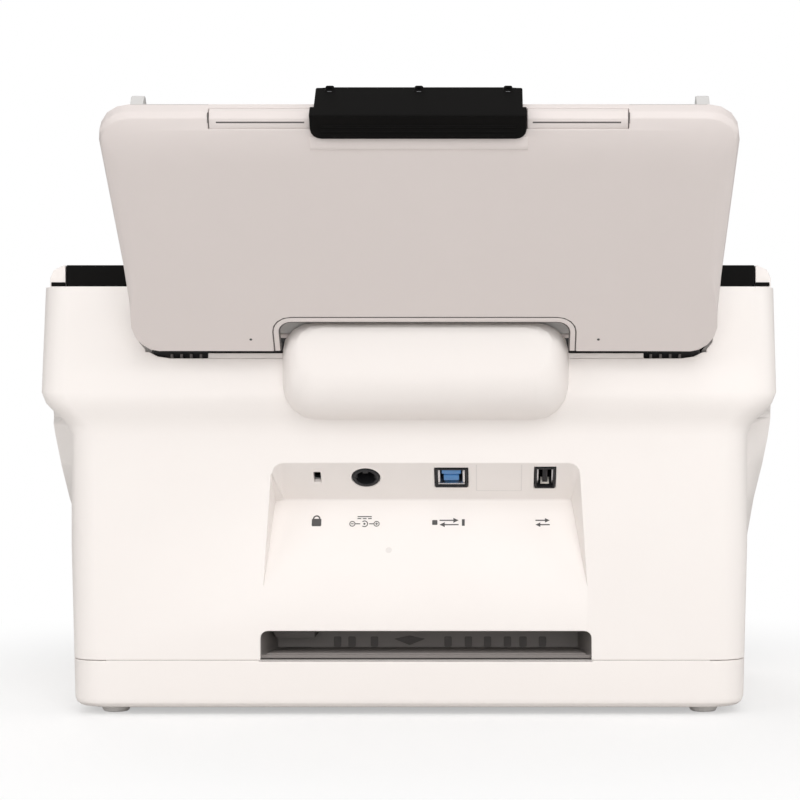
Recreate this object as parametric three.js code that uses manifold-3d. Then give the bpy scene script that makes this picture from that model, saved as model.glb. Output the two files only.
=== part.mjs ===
// Desktop sheet-feed document scanner, seen with its input tray open.
// Millimetres, +Z up, the operator stands at -Y and the connectors face +Y.
import * as THREE from 'three';
import { mergeVertices } from 'three/addons/utils/BufferGeometryUtils.js';
import Module from 'manifold-3d';

const wasm = await Module();
wasm.setup();

// Driving dimensions of the housing
const BASE_HALF_WIDTH = 140.2;
const LOWER_HALF_WIDTH = 141.9;
const BELT_HALF_WIDTH = 156;
const REAR_BELT_HALF = 153.5;
const TOP_HALF_WIDTH = 153.3;
const FRONT_Y = -91;
const FRONT_TOP_Y = -45;
const REAR_Y = 73;
const REAR_BELT_Y = 77;
const REAR_TOP_Y = 70;
const WAIST_FRONT_Y = 38;
const WAIST_REAR_Y = 56;
const FOOT_HEIGHT = 3;
const SEAM_Z = 23.1;
const FLARE_Z = 70;
const SHOULDER_Z = 116;
const BELT_Z = 134;
const LEDGE_Z = 178;
const COVER_TOP_Z = 188.2;
const FRONT_CORNER = 14;
const REAR_CORNER = 12;
const BASE_EDGE = 4;
const TOP_EDGE = 6;
const WALL = 2.5;
const GAP = 0.3;
const SEAM = 0.3;
const OVERRUN = 20;

// Line along which the feeder cover parts from the body, and its hinge
const SPLIT_REAR_Y = 52;
const SPLIT_FRONT_Z = 52;
const SPLIT_GAP = 0.8;
const HINGE_Y = -86;
const HINGE_Z = 54;
const COVER_FRONT_Z = 60;
const PIN_RADIUS = 2;
const PIN_HOLE = PIN_RADIUS + GAP;

// Paper path: a plane that leans back, carried on through the input tray
const PATH_X = -7.3;
const PATH_Y = 76.7;
const PATH_Z = 158.1;
const LEAN_DEG = 43;
const PAPER_GAP = 1.2;
const GUIDE_THICK = 3;
const GUIDE_END = -172;
const GUIDE_TOP = -2;
const FEED_AT = -34;
const FRAME_INSIDE = 116;
const FRAME_THICK = 2.5;
const TYRE_RADIUS = 10;
const TYRE_RISE = 0.5;
const SHAFT_RADIUS = 3;
const TYRE_WIDTH = 14;
const TYRE_AT = 30;

// Gears
const MODULE = 1.5;
const PRESSURE_DEG = 25;
const BACKLASH = 0.35;
const ROOT_DEPTH = 1.25 * MODULE;
const SHAFT_TEETH = 14;
const UPPER_IDLER_TEETH = 12;
const LOWER_IDLER_TEETH = 26;
const MOTOR_TEETH = 12;
const GEAR_WIDTH = 6;

// Input tray
const TRAY_HALF_WIDTH = 120.3;
const TRAY_LENGTH = 113.4;
const TRAY_THICK = 11;
const TRAY_TAPER = 2.6;
const TRAY_EDGE_DEEP = 6;
const TRAY_EDGE_SIDE = 12;
const TRAY_EDGE_TOP = 20;
const TRAY_INNER_EDGE = 10;
const TRAY_TOP_CORNER = 12.5;
const TRAY_LOW_CORNER = 13;
const TRAY_WALL = 2;
const TRAY_AXIS_ALONG = 4;
const TRAY_AXIS_ABOVE = 17.5;
const BED_THICK = 2.6;
const TRAY_GAP = 0.9;
const CUT_OUT_Z = 148;

// Bump on the rear cover, which the tray is notched around
const BUMP_HALF_WIDTH = 59;
const BUMP_LOW_Z = 122.7;
const BUMP_TOP_Z = 163.2;
const BUMP_REACH_Y = 91;
const NOTCH_GAP = 2.5;

// Connector recess and hand-grip slot
const RECESS_TOP_Z = 104.7;
const RECESS_LOW_Z = 53.4;
const RECESS_TOP_HALF = 63.7;
const RECESS_LOW_HALF = 67.2;
const RECESS_DEPTH = 18;
const RECESS_APEX_Z = 88.9;
const SLOT_TOP_Z = 35.1;
const SLOT_HALF_WIDTH = 68.6;

// Output tray
const OUT_HALF_WIDTH = 112;
const OUT_LENGTH = 92;
const OUT_THICK = 7;
const OUT_HINGE_Z = 17;

const DEG = Math.PI / 180;
const LEAN = LEAN_DEG * DEG;
const STEPS = 4;
const COARSE_STEPS = 2;

// Materials
function paint(color, roughness, metalness) {
  return new THREE.MeshStandardMaterial({ color, roughness, metalness });
}
const white = paint(0xf4f1ee, 0.45, 0);
const shade = paint(0xd8d5d2, 0.5, 0);
const black = paint(0x1c1c1e, 0.4, 0);
const grey = paint(0x55565a, 0.5, 0);
const steel = paint(0xb9bcc0, 0.35, 0.9);
const rubber = paint(0x2c2c2e, 0.9, 0);
const gearWhite = paint(0xe6e0cf, 0.5, 0);
const glassy = paint(0x9fb4c0, 0.05, 0);
const board = paint(0x2f6b3c, 0.6, 0);
const blue = paint(0x3d6f9e, 0.4, 0);

// Solids: closed geometries joined and cut
function volume(geometry) {
  const position = geometry.attributes.position;
  const index = geometry.index.array;
  const [a, b, c] = [new THREE.Vector3(), new THREE.Vector3(), new THREE.Vector3()];
  let sum = 0;
  for (let i = 0; i < index.length; i += 3) {
    a.fromBufferAttribute(position, index[i]);
    b.fromBufferAttribute(position, index[i + 1]);
    c.fromBufferAttribute(position, index[i + 2]);
    sum += a.dot(b.cross(c));
  }
  return sum;
}

function solid(shape) {
  if (!shape.isBufferGeometry) return shape;
  let geometry = shape.clone();
  geometry.deleteAttribute('normal');
  geometry.deleteAttribute('uv');
  geometry = mergeVertices(geometry);
  const triVerts = new Uint32Array(geometry.index.array);
  if (volume(geometry) < 0) triVerts.reverse();
  const vertProperties = new Float32Array(geometry.attributes.position.array);
  return new wasm.Manifold(new wasm.Mesh({ numProp: 3, vertProperties, triVerts }));
}

function join(...shapes) {
  return shapes.map(solid).reduce((sum, shape) => sum.add(shape));
}

function cut(shape, ...tools) {
  return tools.map(solid).reduce((rest, tool) => rest.subtract(tool), solid(shape));
}

function both(...shapes) {
  return shapes.map(solid).reduce((common, shape) => common.intersect(shape));
}

function geometryOf(shape) {
  const mesh = solid(shape).getMesh();
  const geometry = new THREE.BufferGeometry();
  geometry.setAttribute('position', new THREE.BufferAttribute(mesh.vertProperties, 3));
  geometry.setIndex(new THREE.BufferAttribute(mesh.triVerts, 1));
  return geometry;
}

function piece(parent, name, shape, material) {
  const geometry = geometryOf(shape);
  geometry.computeVertexNormals();
  const part = new THREE.Mesh(geometry, material);
  part.name = name;
  parent.add(part);
  return part;
}

// Basic shapes
function block(x0, x1, y0, y1, z0, z1) {
  const geometry = new THREE.BoxGeometry(x1 - x0, y1 - y0, z1 - z0);
  return geometry.translate((x0 + x1) / 2, (y0 + y1) / 2, (z0 + z1) / 2);
}

function centred(cx, half, y0, y1, z0, z1) {
  return block(cx - half, cx + half, y0, y1, z0, z1);
}

function shapeOf(points, holes = []) {
  const shape = new THREE.Shape(points.map(([u, v]) => new THREE.Vector2(u, v)));
  shape.holes = holes.map((hole) => new THREE.Path(hole.map(([u, v]) => new THREE.Vector2(u, v))));
  return shape;
}

function extrude(points, depth, holes) {
  return new THREE.ExtrudeGeometry(shapeOf(points, holes), { depth, bevelEnabled: false });
}

// Extrusions along each axis: the outline is (y, z), (x, z) or (x, y)
function alongX(points, x0, x1, holes) {
  const turn = new THREE.Matrix4().makeBasis(
    new THREE.Vector3(0, 1, 0), new THREE.Vector3(0, 0, 1), new THREE.Vector3(1, 0, 0));
  return extrude(points, x1 - x0, holes).applyMatrix4(turn).translate(x0, 0, 0);
}

function alongY(points, y0, y1, holes) {
  const turn = new THREE.Matrix4().makeBasis(
    new THREE.Vector3(1, 0, 0), new THREE.Vector3(0, 0, 1), new THREE.Vector3(0, -1, 0));
  return extrude(points, y1 - y0, holes).applyMatrix4(turn).translate(0, y1, 0);
}

function alongZ(points, z0, z1, holes) {
  return extrude(points, z1 - z0, holes).translate(0, 0, z0);
}

function arc(cu, cv, radius, from, to, steps = STEPS) {
  const points = [];
  for (let i = 0; i <= steps; i++) {
    const angle = (from + (to - from) * i / steps) * DEG;
    points.push([cu + radius * Math.cos(angle), cv + radius * Math.sin(angle)]);
  }
  return points;
}

function circle(cu, cv, radius, sides = 16) {
  return arc(cu, cv, radius, 0, 360, sides).slice(0, sides);
}

// Rounded rectangle with one radius for its two low corners and one for the top
function rounded(u0, u1, v0, v1, low, top = low, steps = STEPS) {
  return [
    ...arc(u0 + low, v0 + low, low, 180, 270, steps),
    ...arc(u1 - low, v0 + low, low, 270, 360, steps),
    ...arc(u1 - top, v1 - top, top, 0, 90, steps),
    ...arc(u0 + top, v1 - top, top, 90, 180, steps),
  ];
}

// Skin through rings of equal count, closed at each end by a fan to the middle
function loft(rings) {
  const count = rings[0].length;
  const index = [];
  for (let r = 0; r + 1 < rings.length; r++) {
    for (let i = 0; i < count; i++) {
      const a = r * count + i;
      const b = r * count + (i + 1) % count;
      index.push(a, b, b + count, a, b + count, a + count);
    }
  }
  const middle = (ring) => [0, 1, 2].map((k) => ring.reduce((sum, p) => sum + p[k], 0) / count);
  const centres = [rings[0], rings.at(-1)].map(middle);
  const first = rings.length * count;
  const last = first - count;
  for (let i = 0; i < count; i++) {
    const next = (i + 1) % count;
    index.push(next, i, first, last + i, last + next, first + 1);
  }
  const geometry = new THREE.BufferGeometry();
  geometry.setAttribute('position', new THREE.Float32BufferAttribute([...rings, centres].flat(2), 3));
  geometry.setIndex(index);
  return geometry;
}

function between(table, at) {
  let [x0, y0] = table[0];
  for (const [x1, y1] of table) {
    if (at <= x1) return x1 === x0 ? y1 : y0 + (y1 - y0) * (at - x0) / (x1 - x0);
    [x0, y0] = [x1, y1];
  }
  return y0;
}

// Housing form: rounded rings stacked from the feet to the top of the cover
const beltRise = BELT_Z - SHOULDER_Z;
const flareShares = [[0.29, 0.42], [0.52, 0.68], [0.76, 0.9]];

function shared(from, to, share) {
  return from + (to - from) * share;
}

// Widest at the belt, with flanks that swell gently up to it
function middleHalf(z) {
  const flare = flareShares.map(([rise, swell]) => [
    shared(FLARE_Z, BELT_Z, rise), shared(LOWER_HALF_WIDTH, BELT_HALF_WIDTH, swell)]);
  return between([
    [FOOT_HEIGHT, BASE_HALF_WIDTH], [FLARE_Z, LOWER_HALF_WIDTH], ...flare,
    [BELT_Z, BELT_HALF_WIDTH], [LEDGE_Z, TOP_HALF_WIDTH]], z);
}

// Share of the way from the shoulder to the belt, along a soft S
function beltShare(z) {
  const rise = Math.min(Math.max((z - SHOULDER_Z) / beltRise, 0), 1);
  return (1 - Math.cos(Math.PI * rise)) / 2;
}

function rearHalf(z) {
  const low = between([[FOOT_HEIGHT, BASE_HALF_WIDTH], [FLARE_Z, LOWER_HALF_WIDTH]], z);
  const high = between([[BELT_Z, REAR_BELT_HALF], [LEDGE_Z, TOP_HALF_WIDTH]], z);
  return shared(low, high, beltShare(z));
}

function rearY(z) {
  return shared(REAR_Y, between([[BELT_Z, REAR_BELT_Y], [LEDGE_Z, REAR_TOP_Y]], z), beltShare(z));
}

function frontY(z) {
  const rise = Math.max(0, (z - SHOULDER_Z) / (COVER_TOP_Z - SHOULDER_Z));
  return FRONT_TOP_Y - (FRONT_TOP_Y - FRONT_Y) * Math.sqrt(Math.max(0, 1 - rise * rise));
}

function edgeInset(z) {
  const low = Math.max(0, BASE_EDGE - (z - FOOT_HEIGHT));
  const high = Math.max(0, TOP_EDGE - (COVER_TOP_Z - z));
  return BASE_EDGE - Math.sqrt(BASE_EDGE ** 2 - Math.min(low, BASE_EDGE) ** 2)
    + TOP_EDGE - Math.sqrt(TOP_EDGE ** 2 - Math.min(high, TOP_EDGE) ** 2);
}

function hullRing(z, { side, front, rear, edged, steps }) {
  const edge = edged ? edgeInset(z) : 0;
  const lowEdge = z < SEAM_Z ? edge : 0;
  const mid = middleHalf(z) - edge - side;
  const back = rearHalf(z) - edge - side;
  const frontR = Math.max(FRONT_CORNER - Math.max(side, front), WALL);
  const rearR = Math.max(REAR_CORNER - Math.max(side, rear), WALL);
  const y0 = frontY(z) + lowEdge + front;
  const y1 = rearY(z) - lowEdge - rear;
  const right = [
    ...arc(mid - frontR, y0 + frontR, frontR, -90, 0, steps),
    [mid, WAIST_FRONT_Y],
    [back, WAIST_REAR_Y],
    ...arc(back - rearR, y1 - rearR, rearR, 0, 90, steps),
  ];
  const left = right.map(([x, y]) => [-x, y]).reverse();
  return [...right, ...left].map(([x, y]) => [x, y, z]);
}

const lowLevelShares = [0, 0.13, 0.5, 1];
const beltLevelShares = [0, 0.25, 0.42, 0.58, 0.75, 1];
const faceLevelShares = [0.15, 0.5, 1];
const topLevelShares = [0.45, 0.8, 1];

// Heights of the rings; a form that only hollows another one takes fewer
function hullLevels(fine) {
  const belt = beltLevelShares.filter((s) => fine || s === 0 || s === 1);
  return [
    ...lowLevelShares.map((s) => FOOT_HEIGHT + BASE_EDGE * s), SEAM_Z, FLARE_Z,
    ...flareShares.map(([rise]) => shared(FLARE_Z, BELT_Z, rise)).filter((z) => z < SHOULDER_Z),
    ...belt.map((s) => SHOULDER_Z + beltRise * s),
    ...faceLevelShares.map((s) => BELT_Z + (LEDGE_Z - BELT_Z) * s),
    ...topLevelShares.map((s) => LEDGE_Z + (COVER_TOP_Z - LEDGE_Z) * s),
  ];
}

function hull({ side = 0, front = 0, rear = 0, low = 0, high = 0, edged = true, fine = true } = {}) {
  const z0 = FOOT_HEIGHT + low;
  const z1 = COVER_TOP_Z - high;
  const steps = fine ? STEPS : COARSE_STEPS;
  const inside = hullLevels(fine).filter((z) => z > z0 + GAP && z < z1 - GAP);
  return loft([z0, ...inside, z1].map((z) => hullRing(z, { side, front, rear, edged, steps })));
}

// Regions that part the housing
const FAR = 2 * BELT_HALF_WIDTH;

function splitZ(y) {
  return SPLIT_FRONT_Z + (LEDGE_Z - SPLIT_FRONT_Z) * (y - FRONT_Y) / (SPLIT_REAR_Y - FRONT_Y);
}

function splitY(z) {
  return FRONT_Y + (SPLIT_REAR_Y - FRONT_Y) * (z - SPLIT_FRONT_Z) / (LEDGE_Z - SPLIT_FRONT_Z);
}

function bodyRegion() {
  const frontLow = FRONT_Y - OVERRUN;
  return alongX([
    [frontLow, 0], [REAR_BELT_Y + OVERRUN, 0], [REAR_BELT_Y + OVERRUN, LEDGE_Z],
    [SPLIT_REAR_Y, LEDGE_Z], [FRONT_Y, SPLIT_FRONT_Z], [frontLow, SPLIT_FRONT_Z],
  ], -FAR, FAR);
}

function coverRegion() {
  const rear = SPLIT_REAR_Y - SPLIT_GAP;
  const lift = SPLIT_GAP;
  return alongX([
    [FRONT_Y - OVERRUN, COVER_FRONT_Z], [splitY(COVER_FRONT_Z - lift), COVER_FRONT_Z],
    [rear, splitZ(rear) + lift], [rear, COVER_TOP_Z + OVERRUN],
    [FRONT_Y - OVERRUN, COVER_TOP_Z + OVERRUN],
  ], -FAR, FAR);
}

// Path frame: x across the paper, y up along the bed, z out of its face
const scanner = new THREE.Group();
const path = new THREE.Group();
path.position.set(PATH_X, PATH_Y, PATH_Z);
path.rotation.x = 90 * DEG - LEAN;
path.updateMatrix();
scanner.add(path);

function onPath(geometry) {
  return geometry.applyMatrix4(path.matrix);
}

function pathPoint(along, above) {
  const point = new THREE.Vector3(0, along, above).applyMatrix4(path.matrix);
  return [point.y, point.z];
}

// Roller and gear centres, in the path frame
const rollerZ = TYRE_RISE - TYRE_RADIUS;
const shaftPitch = MODULE * SHAFT_TEETH / 2;
const upperIdlerPitch = MODULE * UPPER_IDLER_TEETH / 2;
const lowerIdlerPitch = MODULE * LOWER_IDLER_TEETH / 2;
const motorPitch = MODULE * MOTOR_TEETH / 2;
const UPPER_IDLER_AT = FEED_AT - shaftPitch - upperIdlerPitch;
const TRANSPORT_AT = UPPER_IDLER_AT - shaftPitch - upperIdlerPitch;
const LOWER_IDLER_AT = TRANSPORT_AT - shaftPitch - lowerIdlerPitch;
const EXIT_AT = LOWER_IDLER_AT - shaftPitch - lowerIdlerPitch;
const MOTOR_Z = rollerZ - lowerIdlerPitch - motorPitch;
const rollerPlaces = [FEED_AT, TRANSPORT_AT, EXIT_AT];
const FRAME_OUTSIDE = FRAME_INSIDE + FRAME_THICK;
const GEAR_START = FRAME_OUTSIDE + GAP;

// Base tray: the floor pan with its rounded edge, cut at the front for the tray
const OUT_HINGE_Y = -88;
const outFloor = OUT_HINGE_Z - OUT_THICK;

function baseTray() {
  const opening = OUT_HALF_WIDTH + GAP;
  const wellRear = FRONT_Y + 2 * OUT_THICK;
  const slab = both(hull(), block(-FAR, FAR, -FAR, FAR, 0, SEAM_Z - SEAM));
  const inner = both(
    hull({ side: WALL, front: WALL, rear: WALL, low: WALL, fine: false }),
    block(-FAR, FAR, -FAR, FAR, 0, SEAM_Z + OVERRUN));
  const well = block(PATH_X - opening, PATH_X + opening, FRONT_Y - OVERRUN, wellRear,
    outFloor - GAP, SEAM_Z + OVERRUN);
  const cheek = opening + WALL + GAP;
  const cheeks = centred(PATH_X, cheek, FRONT_Y - WALL, wellRear + WALL, 0, SEAM_Z + OVERRUN);
  const pinHole = alongX(circle(OUT_HINGE_Y, OUT_HINGE_Z, PIN_HOLE, 16),
    PATH_X - opening - WALL - 2 * GAP, PATH_X + opening + WALL + 2 * GAP);
  const slotHalf = SLOT_HALF_WIDTH + 2 * GAP;
  const slot = block(PATH_X - slotHalf, PATH_X + slotHalf, REAR_Y - 2 * WALL,
    REAR_Y + OVERRUN, SEAM_Z - SEAM - GAP, SEAM_Z);
  return cut(slab, cut(inner, cheeks), well, slot, pinHole);
}

piece(scanner, 'base_tray', baseTray(), white);

// Rubber feet: tapered pads under the corners
const FOOT_X = 123.7;
const FOOT_RADIUS = 6.3;
const FOOT_FRONT_Y = -70;
const FOOT_REAR_Y = 58;
const FOOT_TAPER_SHARE = 0.86;
const FOOT_SEAT = 0.05;

function foot(x, y) {
  const height = FOOT_HEIGHT - FOOT_SEAT;
  const pad = new THREE.CylinderGeometry(
    FOOT_RADIUS, FOOT_RADIUS * FOOT_TAPER_SHARE, height, 20);
  return pad.rotateX(90 * DEG).translate(x, y, height / 2);
}

for (const [end, y] of [['front', FOOT_FRONT_Y], ['rear', FOOT_REAR_Y]]) {
  piece(scanner, `foot_${end}_left`, foot(-FOOT_X, y), rubber);
  piece(scanner, `foot_${end}_right`, foot(FOOT_X, y), rubber);
}

// Side covers: front halves of the body shell below the split line
const COVER_JOINT_Y = 15;
const SIDE_COVER_DEPTH = 19;
const SIDE_COVER_INNER = LOWER_HALF_WIDTH - SIDE_COVER_DEPTH;

function bodyShell(...kept) {
  const inner = hull({
    side: WALL, front: WALL, rear: WALL, low: WALL, high: COVER_TOP_Z - LEDGE_Z + WALL, fine: false });
  return cut(both(hull(), bodyRegion()), cut(inner, ...kept));
}

function sideCovers() {
  const region = block(-FAR, FAR, -FAR, COVER_JOINT_Y - SEAM / 2, SEAM_Z, LEDGE_Z);
  const middle = block(PATH_X - SIDE_COVER_INNER, PATH_X + SIDE_COVER_INNER, -FAR, FAR, 0, LEDGE_Z);
  return cut(both(bodyShell(), region), middle);
}

const covers = sideCovers();
piece(scanner, 'side_cover_left', both(covers, block(-FAR, 0, -FAR, FAR, 0, FAR)), white);
piece(scanner, 'side_cover_right', both(covers, block(0, FAR, -FAR, FAR, 0, FAR)), white);

// Connector recess: a V groove whose upper face carries the ports
const recessHeight = RECESS_TOP_Z - RECESS_APEX_Z;
const recessLength = Math.hypot(RECESS_DEPTH, recessHeight);
const RECESS_DRAFT = 2.8;
const RECESS_CORNER = 5;
const APEX_LAND = 1;

// Outline of the groove at a share of its depth, set out by grow along its faces
function recessRing(share, grow) {
  const fall = RECESS_APEX_Z - APEX_LAND - RECESS_LOW_Z;
  const z1 = RECESS_TOP_Z - recessHeight * share + grow * recessLength / RECESS_DEPTH;
  const z0 = RECESS_LOW_Z + fall * share - grow * Math.hypot(fall, RECESS_DEPTH) / RECESS_DEPTH;
  const draft = RECESS_DRAFT * share;
  const top = RECESS_TOP_HALF - draft + grow;
  const low = RECESS_LOW_HALF - draft + grow;
  const r = Math.min(RECESS_CORNER, (z1 - z0) / 3);
  const ring = [
    [PATH_X - low, z0], [PATH_X + low, z0],
    ...arc(PATH_X + top - r, z1 - r, r, 0, 90), ...arc(PATH_X - top + r, z1 - r, r, 90, 180)];
  return ring.map(([x, z]) => [x, REAR_Y - RECESS_DEPTH * share, z]);
}

function recess(grow) {
  const mouthShare = -WALL / RECESS_DEPTH;
  return loft([recessRing(1 + grow / RECESS_DEPTH, grow), recessRing(mouthShare, grow)]);
}

// Frame on the recess's port face: x runs towards -X, y up the face, z outward
const portFace = new THREE.Group();
const faceUp = new THREE.Vector3(0, RECESS_DEPTH, recessHeight).normalize();
const faceOut = new THREE.Vector3(0, recessHeight, -RECESS_DEPTH).normalize();
const faceAcross = new THREE.Vector3().crossVectors(faceUp, faceOut);
portFace.position.set(0, REAR_Y - RECESS_DEPTH / 2, RECESS_TOP_Z - recessHeight / 2);
portFace.quaternion.setFromRotationMatrix(new THREE.Matrix4().makeBasis(faceAcross, faceUp, faceOut));
portFace.updateMatrix();
scanner.add(portFace);

const PORT_UP = 2.4;
const LOCK_X = 38.3;
const JACK_X = 18;
const SQUARE_PORT_X = -17.7;
const PLATE_X = -37.6;
const UPRIGHT_PORT_X = -56.8;
const LOCK_SLOT = [3, 7];
const JACK_RADIUS = 5.75;
const SQUARE_PORT = [13.5, 12.2];
const UPRIGHT_PORT = [8.5, 13.4];
const BLANK_PLATE = [18.3, 17];
const PLATE_LINE = 0.5;

// A rectangle on the port face, in its own frame
function portRing(x, [width, height], grow = 0, up = PORT_UP) {
  const across = -x;
  const [w, h] = [width / 2 + grow, height / 2 + grow];
  return [[across - w, up - h], [across + w, up - h], [across + w, up + h], [across - w, up + h]];
}

function onFace(geometry) {
  return geometry.applyMatrix4(portFace.matrix);
}

function portCuts() {
  const deep = -2 * WALL;
  const groove = alongZ(portRing(PLATE_X, BLANK_PLATE, PLATE_LINE), -PLATE_LINE, WALL,
    [portRing(PLATE_X, BLANK_PLATE).reverse()]);
  return [
    onFace(alongZ(portRing(LOCK_X, LOCK_SLOT), deep, WALL)),
    onFace(alongZ(circle(-JACK_X, PORT_UP, JACK_RADIUS + GAP), deep, WALL)),
    onFace(alongZ(portRing(SQUARE_PORT_X, SQUARE_PORT, GAP), deep, WALL)),
    onFace(alongZ(portRing(UPRIGHT_PORT_X, UPRIGHT_PORT, GAP), deep, WALL)),
    onFace(groove),
  ];
}

// Bump: a pillow with a curved underside
const BUMP_LOW_CORNER = 14;
const BUMP_TOP_CORNER = 12;
const BUMP_UNDER = 19;
const BUMP_SIDE = 9;
const BUMP_CREST = 3;
const BUMP_BASE_Y = REAR_Y + 2 * GAP;
const BUMP_STEPS = 5;
const HOLLOW_STEPS = 3;

function pillow(shrink, baseY, steps) {
  const rings = [];
  const reach = BUMP_REACH_Y - BUMP_BASE_Y;
  for (let i = 0; i <= steps; i++) {
    const turn = 90 * DEG * i / steps;
    const inset = 1 - Math.cos(turn);
    const y = BUMP_BASE_Y + reach * Math.sin(turn) - shrink;
    const half = BUMP_HALF_WIDTH - BUMP_SIDE * inset - shrink;
    const ring = rounded(
      PATH_X - half, PATH_X + half,
      BUMP_LOW_Z + BUMP_UNDER * inset + shrink, BUMP_TOP_Z - BUMP_CREST * inset - shrink,
      BUMP_LOW_CORNER - BUMP_SIDE * inset, BUMP_TOP_CORNER - BUMP_CREST * inset, steps - 1);
    if (i === 0) rings.push(ring.map(([x, z]) => [x, baseY, z]));
    rings.push(ring.map(([x, z]) => [x, y, z]));
  }
  return loft(rings);
}

// Cut-out behind the input tray, lined by a moulded tub
const TRAY_LOW_HALF = TRAY_HALF_WIDTH - TRAY_TAPER;
const CUT_OUT_HALF = TRAY_LOW_HALF + 2 * TRAY_GAP;
const TUB_WALL = 3;
const TUB_FRONT_Y = 56;
const CUT_OUT_CORNER = 14;
const CUT_OUT_SQUASH_SHARE = 0.75;
const LIP_HALF = 90;
const LIP_RISE = 2.2;
const LIP_BACK = 0.3;
const AXLE_RADIUS = 2;
const AXLE_HOLE = AXLE_RADIUS + GAP;
const BUMP_CLEAR = 3.6;

function cutOutShape(grow, top) {
  const half = CUT_OUT_HALF + grow;
  const corner = CUT_OUT_CORNER + grow;
  const low = CUT_OUT_Z - grow;
  const squash = (z) => (z < low + corner ? low + (z - low) * CUT_OUT_SQUASH_SHARE : z);
  return rounded(PATH_X - half, PATH_X + half, low, top, corner, GAP).map(([x, z]) => [x, squash(z)]);
}

function rearCover() {
  const [axleY, axleZ] = pathPoint(TRAY_AXIS_ALONG, TRAY_AXIS_ABOVE);
  const region = block(-FAR, FAR, COVER_JOINT_Y + SEAM / 2, FAR, SEAM_Z, LEDGE_Z);
  const tubForm = alongY(cutOutShape(TUB_WALL, LEDGE_Z + OVERRUN), TUB_FRONT_Y, REAR_BELT_Y);
  const guideRoom = onPath(centred(0, FRAME_INSIDE, -FAR, FAR, -GUIDE_THICK - GAP, FAR));
  const tub = cut(tubForm, guideRoom);
  const shell = both(bodyShell(tub, recess(WALL)), region);
  const slot = alongY(
    rounded(PATH_X - SLOT_HALF_WIDTH, PATH_X + SLOT_HALF_WIDTH, SEAM_Z - WALL, SLOT_TOP_Z, GAP, BUMP_CREST),
    REAR_Y - 2 * WALL, REAR_Y + OVERRUN);
  const bump = cut(pillow(0, REAR_Y - WALL / 2, BUMP_STEPS), onPath(block(
    -FAR, FAR, -BELT_HALF_WIDTH, BELT_HALF_WIDTH, -BUMP_CLEAR, FAR)));
  const cutOut = alongY(cutOutShape(0, LEDGE_Z + OVERRUN), 0, REAR_Y + OVERRUN);
  const axleEnd = CUT_OUT_HALF + TUB_WALL + GAP;
  const axles = alongX(circle(axleY, axleZ, AXLE_HOLE, 16), PATH_X - axleEnd, PATH_X + axleEnd);
  const lip = cut(centred(PATH_X, LIP_HALF, TUB_FRONT_Y, rearY(CUT_OUT_Z) - LIP_BACK,
    CUT_OUT_Z - WALL, CUT_OUT_Z + LIP_RISE), guideRoom);
  const hollow = pillow(WALL, SPLIT_REAR_Y, HOLLOW_STEPS);
  const body = join(cut(shell, cutOut), lip);
  const guideEnd = onPath(centred(0, FRAME_INSIDE, -OVERRUN, GUIDE_TOP + GAP, -GUIDE_THICK - GAP, GAP));
  return cut(join(body, bump), hollow, recess(0), ...portCuts(), slot, axles, guideEnd);
}

piece(scanner, 'rear_cover', rearCover(), white);

// Hand-grip tray: a dark pocket behind the slot, its walls drawn in
const GRIP_DEPTH = 26;
const GRIP_WALL = 1.5;
const GRIP_OVERLAP = 2;
const GRIP_BACK_WIDTH_SHARE = 0.93;
const GRIP_BACK_HEIGHT_SHARE = 0.75;

function gripTray() {
  const y1 = REAR_Y - WALL - GAP;
  const z0 = SEAM_Z + GAP;
  const outer = [];
  const inner = [];
  const ends = [[GRIP_BACK_WIDTH_SHARE, GRIP_BACK_HEIGHT_SHARE, y1 - GRIP_DEPTH], [1, 1, y1]];
  for (const [wide, high, y] of ends) {
    const half = (SLOT_HALF_WIDTH + GRIP_OVERLAP) * wide;
    const z1 = z0 + (SLOT_TOP_Z + GRIP_OVERLAP - z0) * high;
    const out = rounded(PATH_X - half, PATH_X + half, z0, z1, GRIP_WALL, GRIP_WALL, 2);
    const hole = rounded(PATH_X - half + GRIP_WALL, PATH_X + half - GRIP_WALL,
      z0 + GRIP_WALL, z1 - GRIP_WALL, GRIP_WALL / 2, GRIP_WALL / 2, 2);
    outer.push(out.map(([x, z]) => [x, y, z]));
    inner.push(hole.map(([x, z]) => [x, y + GRIP_WALL, z]));
  }
  return cut(loft(outer), loft(inner));
}

piece(scanner, 'grip_tray', gripTray(), grey);

// Connectors on their board, parallel to the port face
const BOARD_BACK = 13.7;
const BOARD_THICK = 1.6;
const BOARD_HALF = 58;
const BOARD_X = -9.3;
const BOARD_UP = 9.5;
const BOARD_DOWN = -8;
const PORT_PROUD = 0.4;
const SHELL_THICK = 0.8;
const SOCKET_DEEP = 9;
const SQUARE_INSERT = [8.5, 6.2];
const UPRIGHT_INSERT = [2.1, 10.4];
const LOCK_PLATE = [12, 11.2];

function connectorBoard() {
  return alongZ([
    [-BOARD_X - BOARD_HALF, BOARD_DOWN], [-BOARD_X + BOARD_HALF, BOARD_DOWN],
    [-BOARD_X + BOARD_HALF, BOARD_UP], [-BOARD_X - BOARD_HALF, BOARD_UP],
  ], -BOARD_BACK - BOARD_THICK, -BOARD_BACK);
}

function dataPort(x, size, insert) {
  const body = alongZ(portRing(x, size), GAP - BOARD_BACK, PORT_PROUD);
  const well = alongZ(portRing(x, size, -SHELL_THICK), -SOCKET_DEEP, WALL);
  const tongue = alongZ(portRing(x, insert), -SOCKET_DEEP - GAP, -PORT_PROUD);
  return join(cut(body, well), tongue);
}

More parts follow.
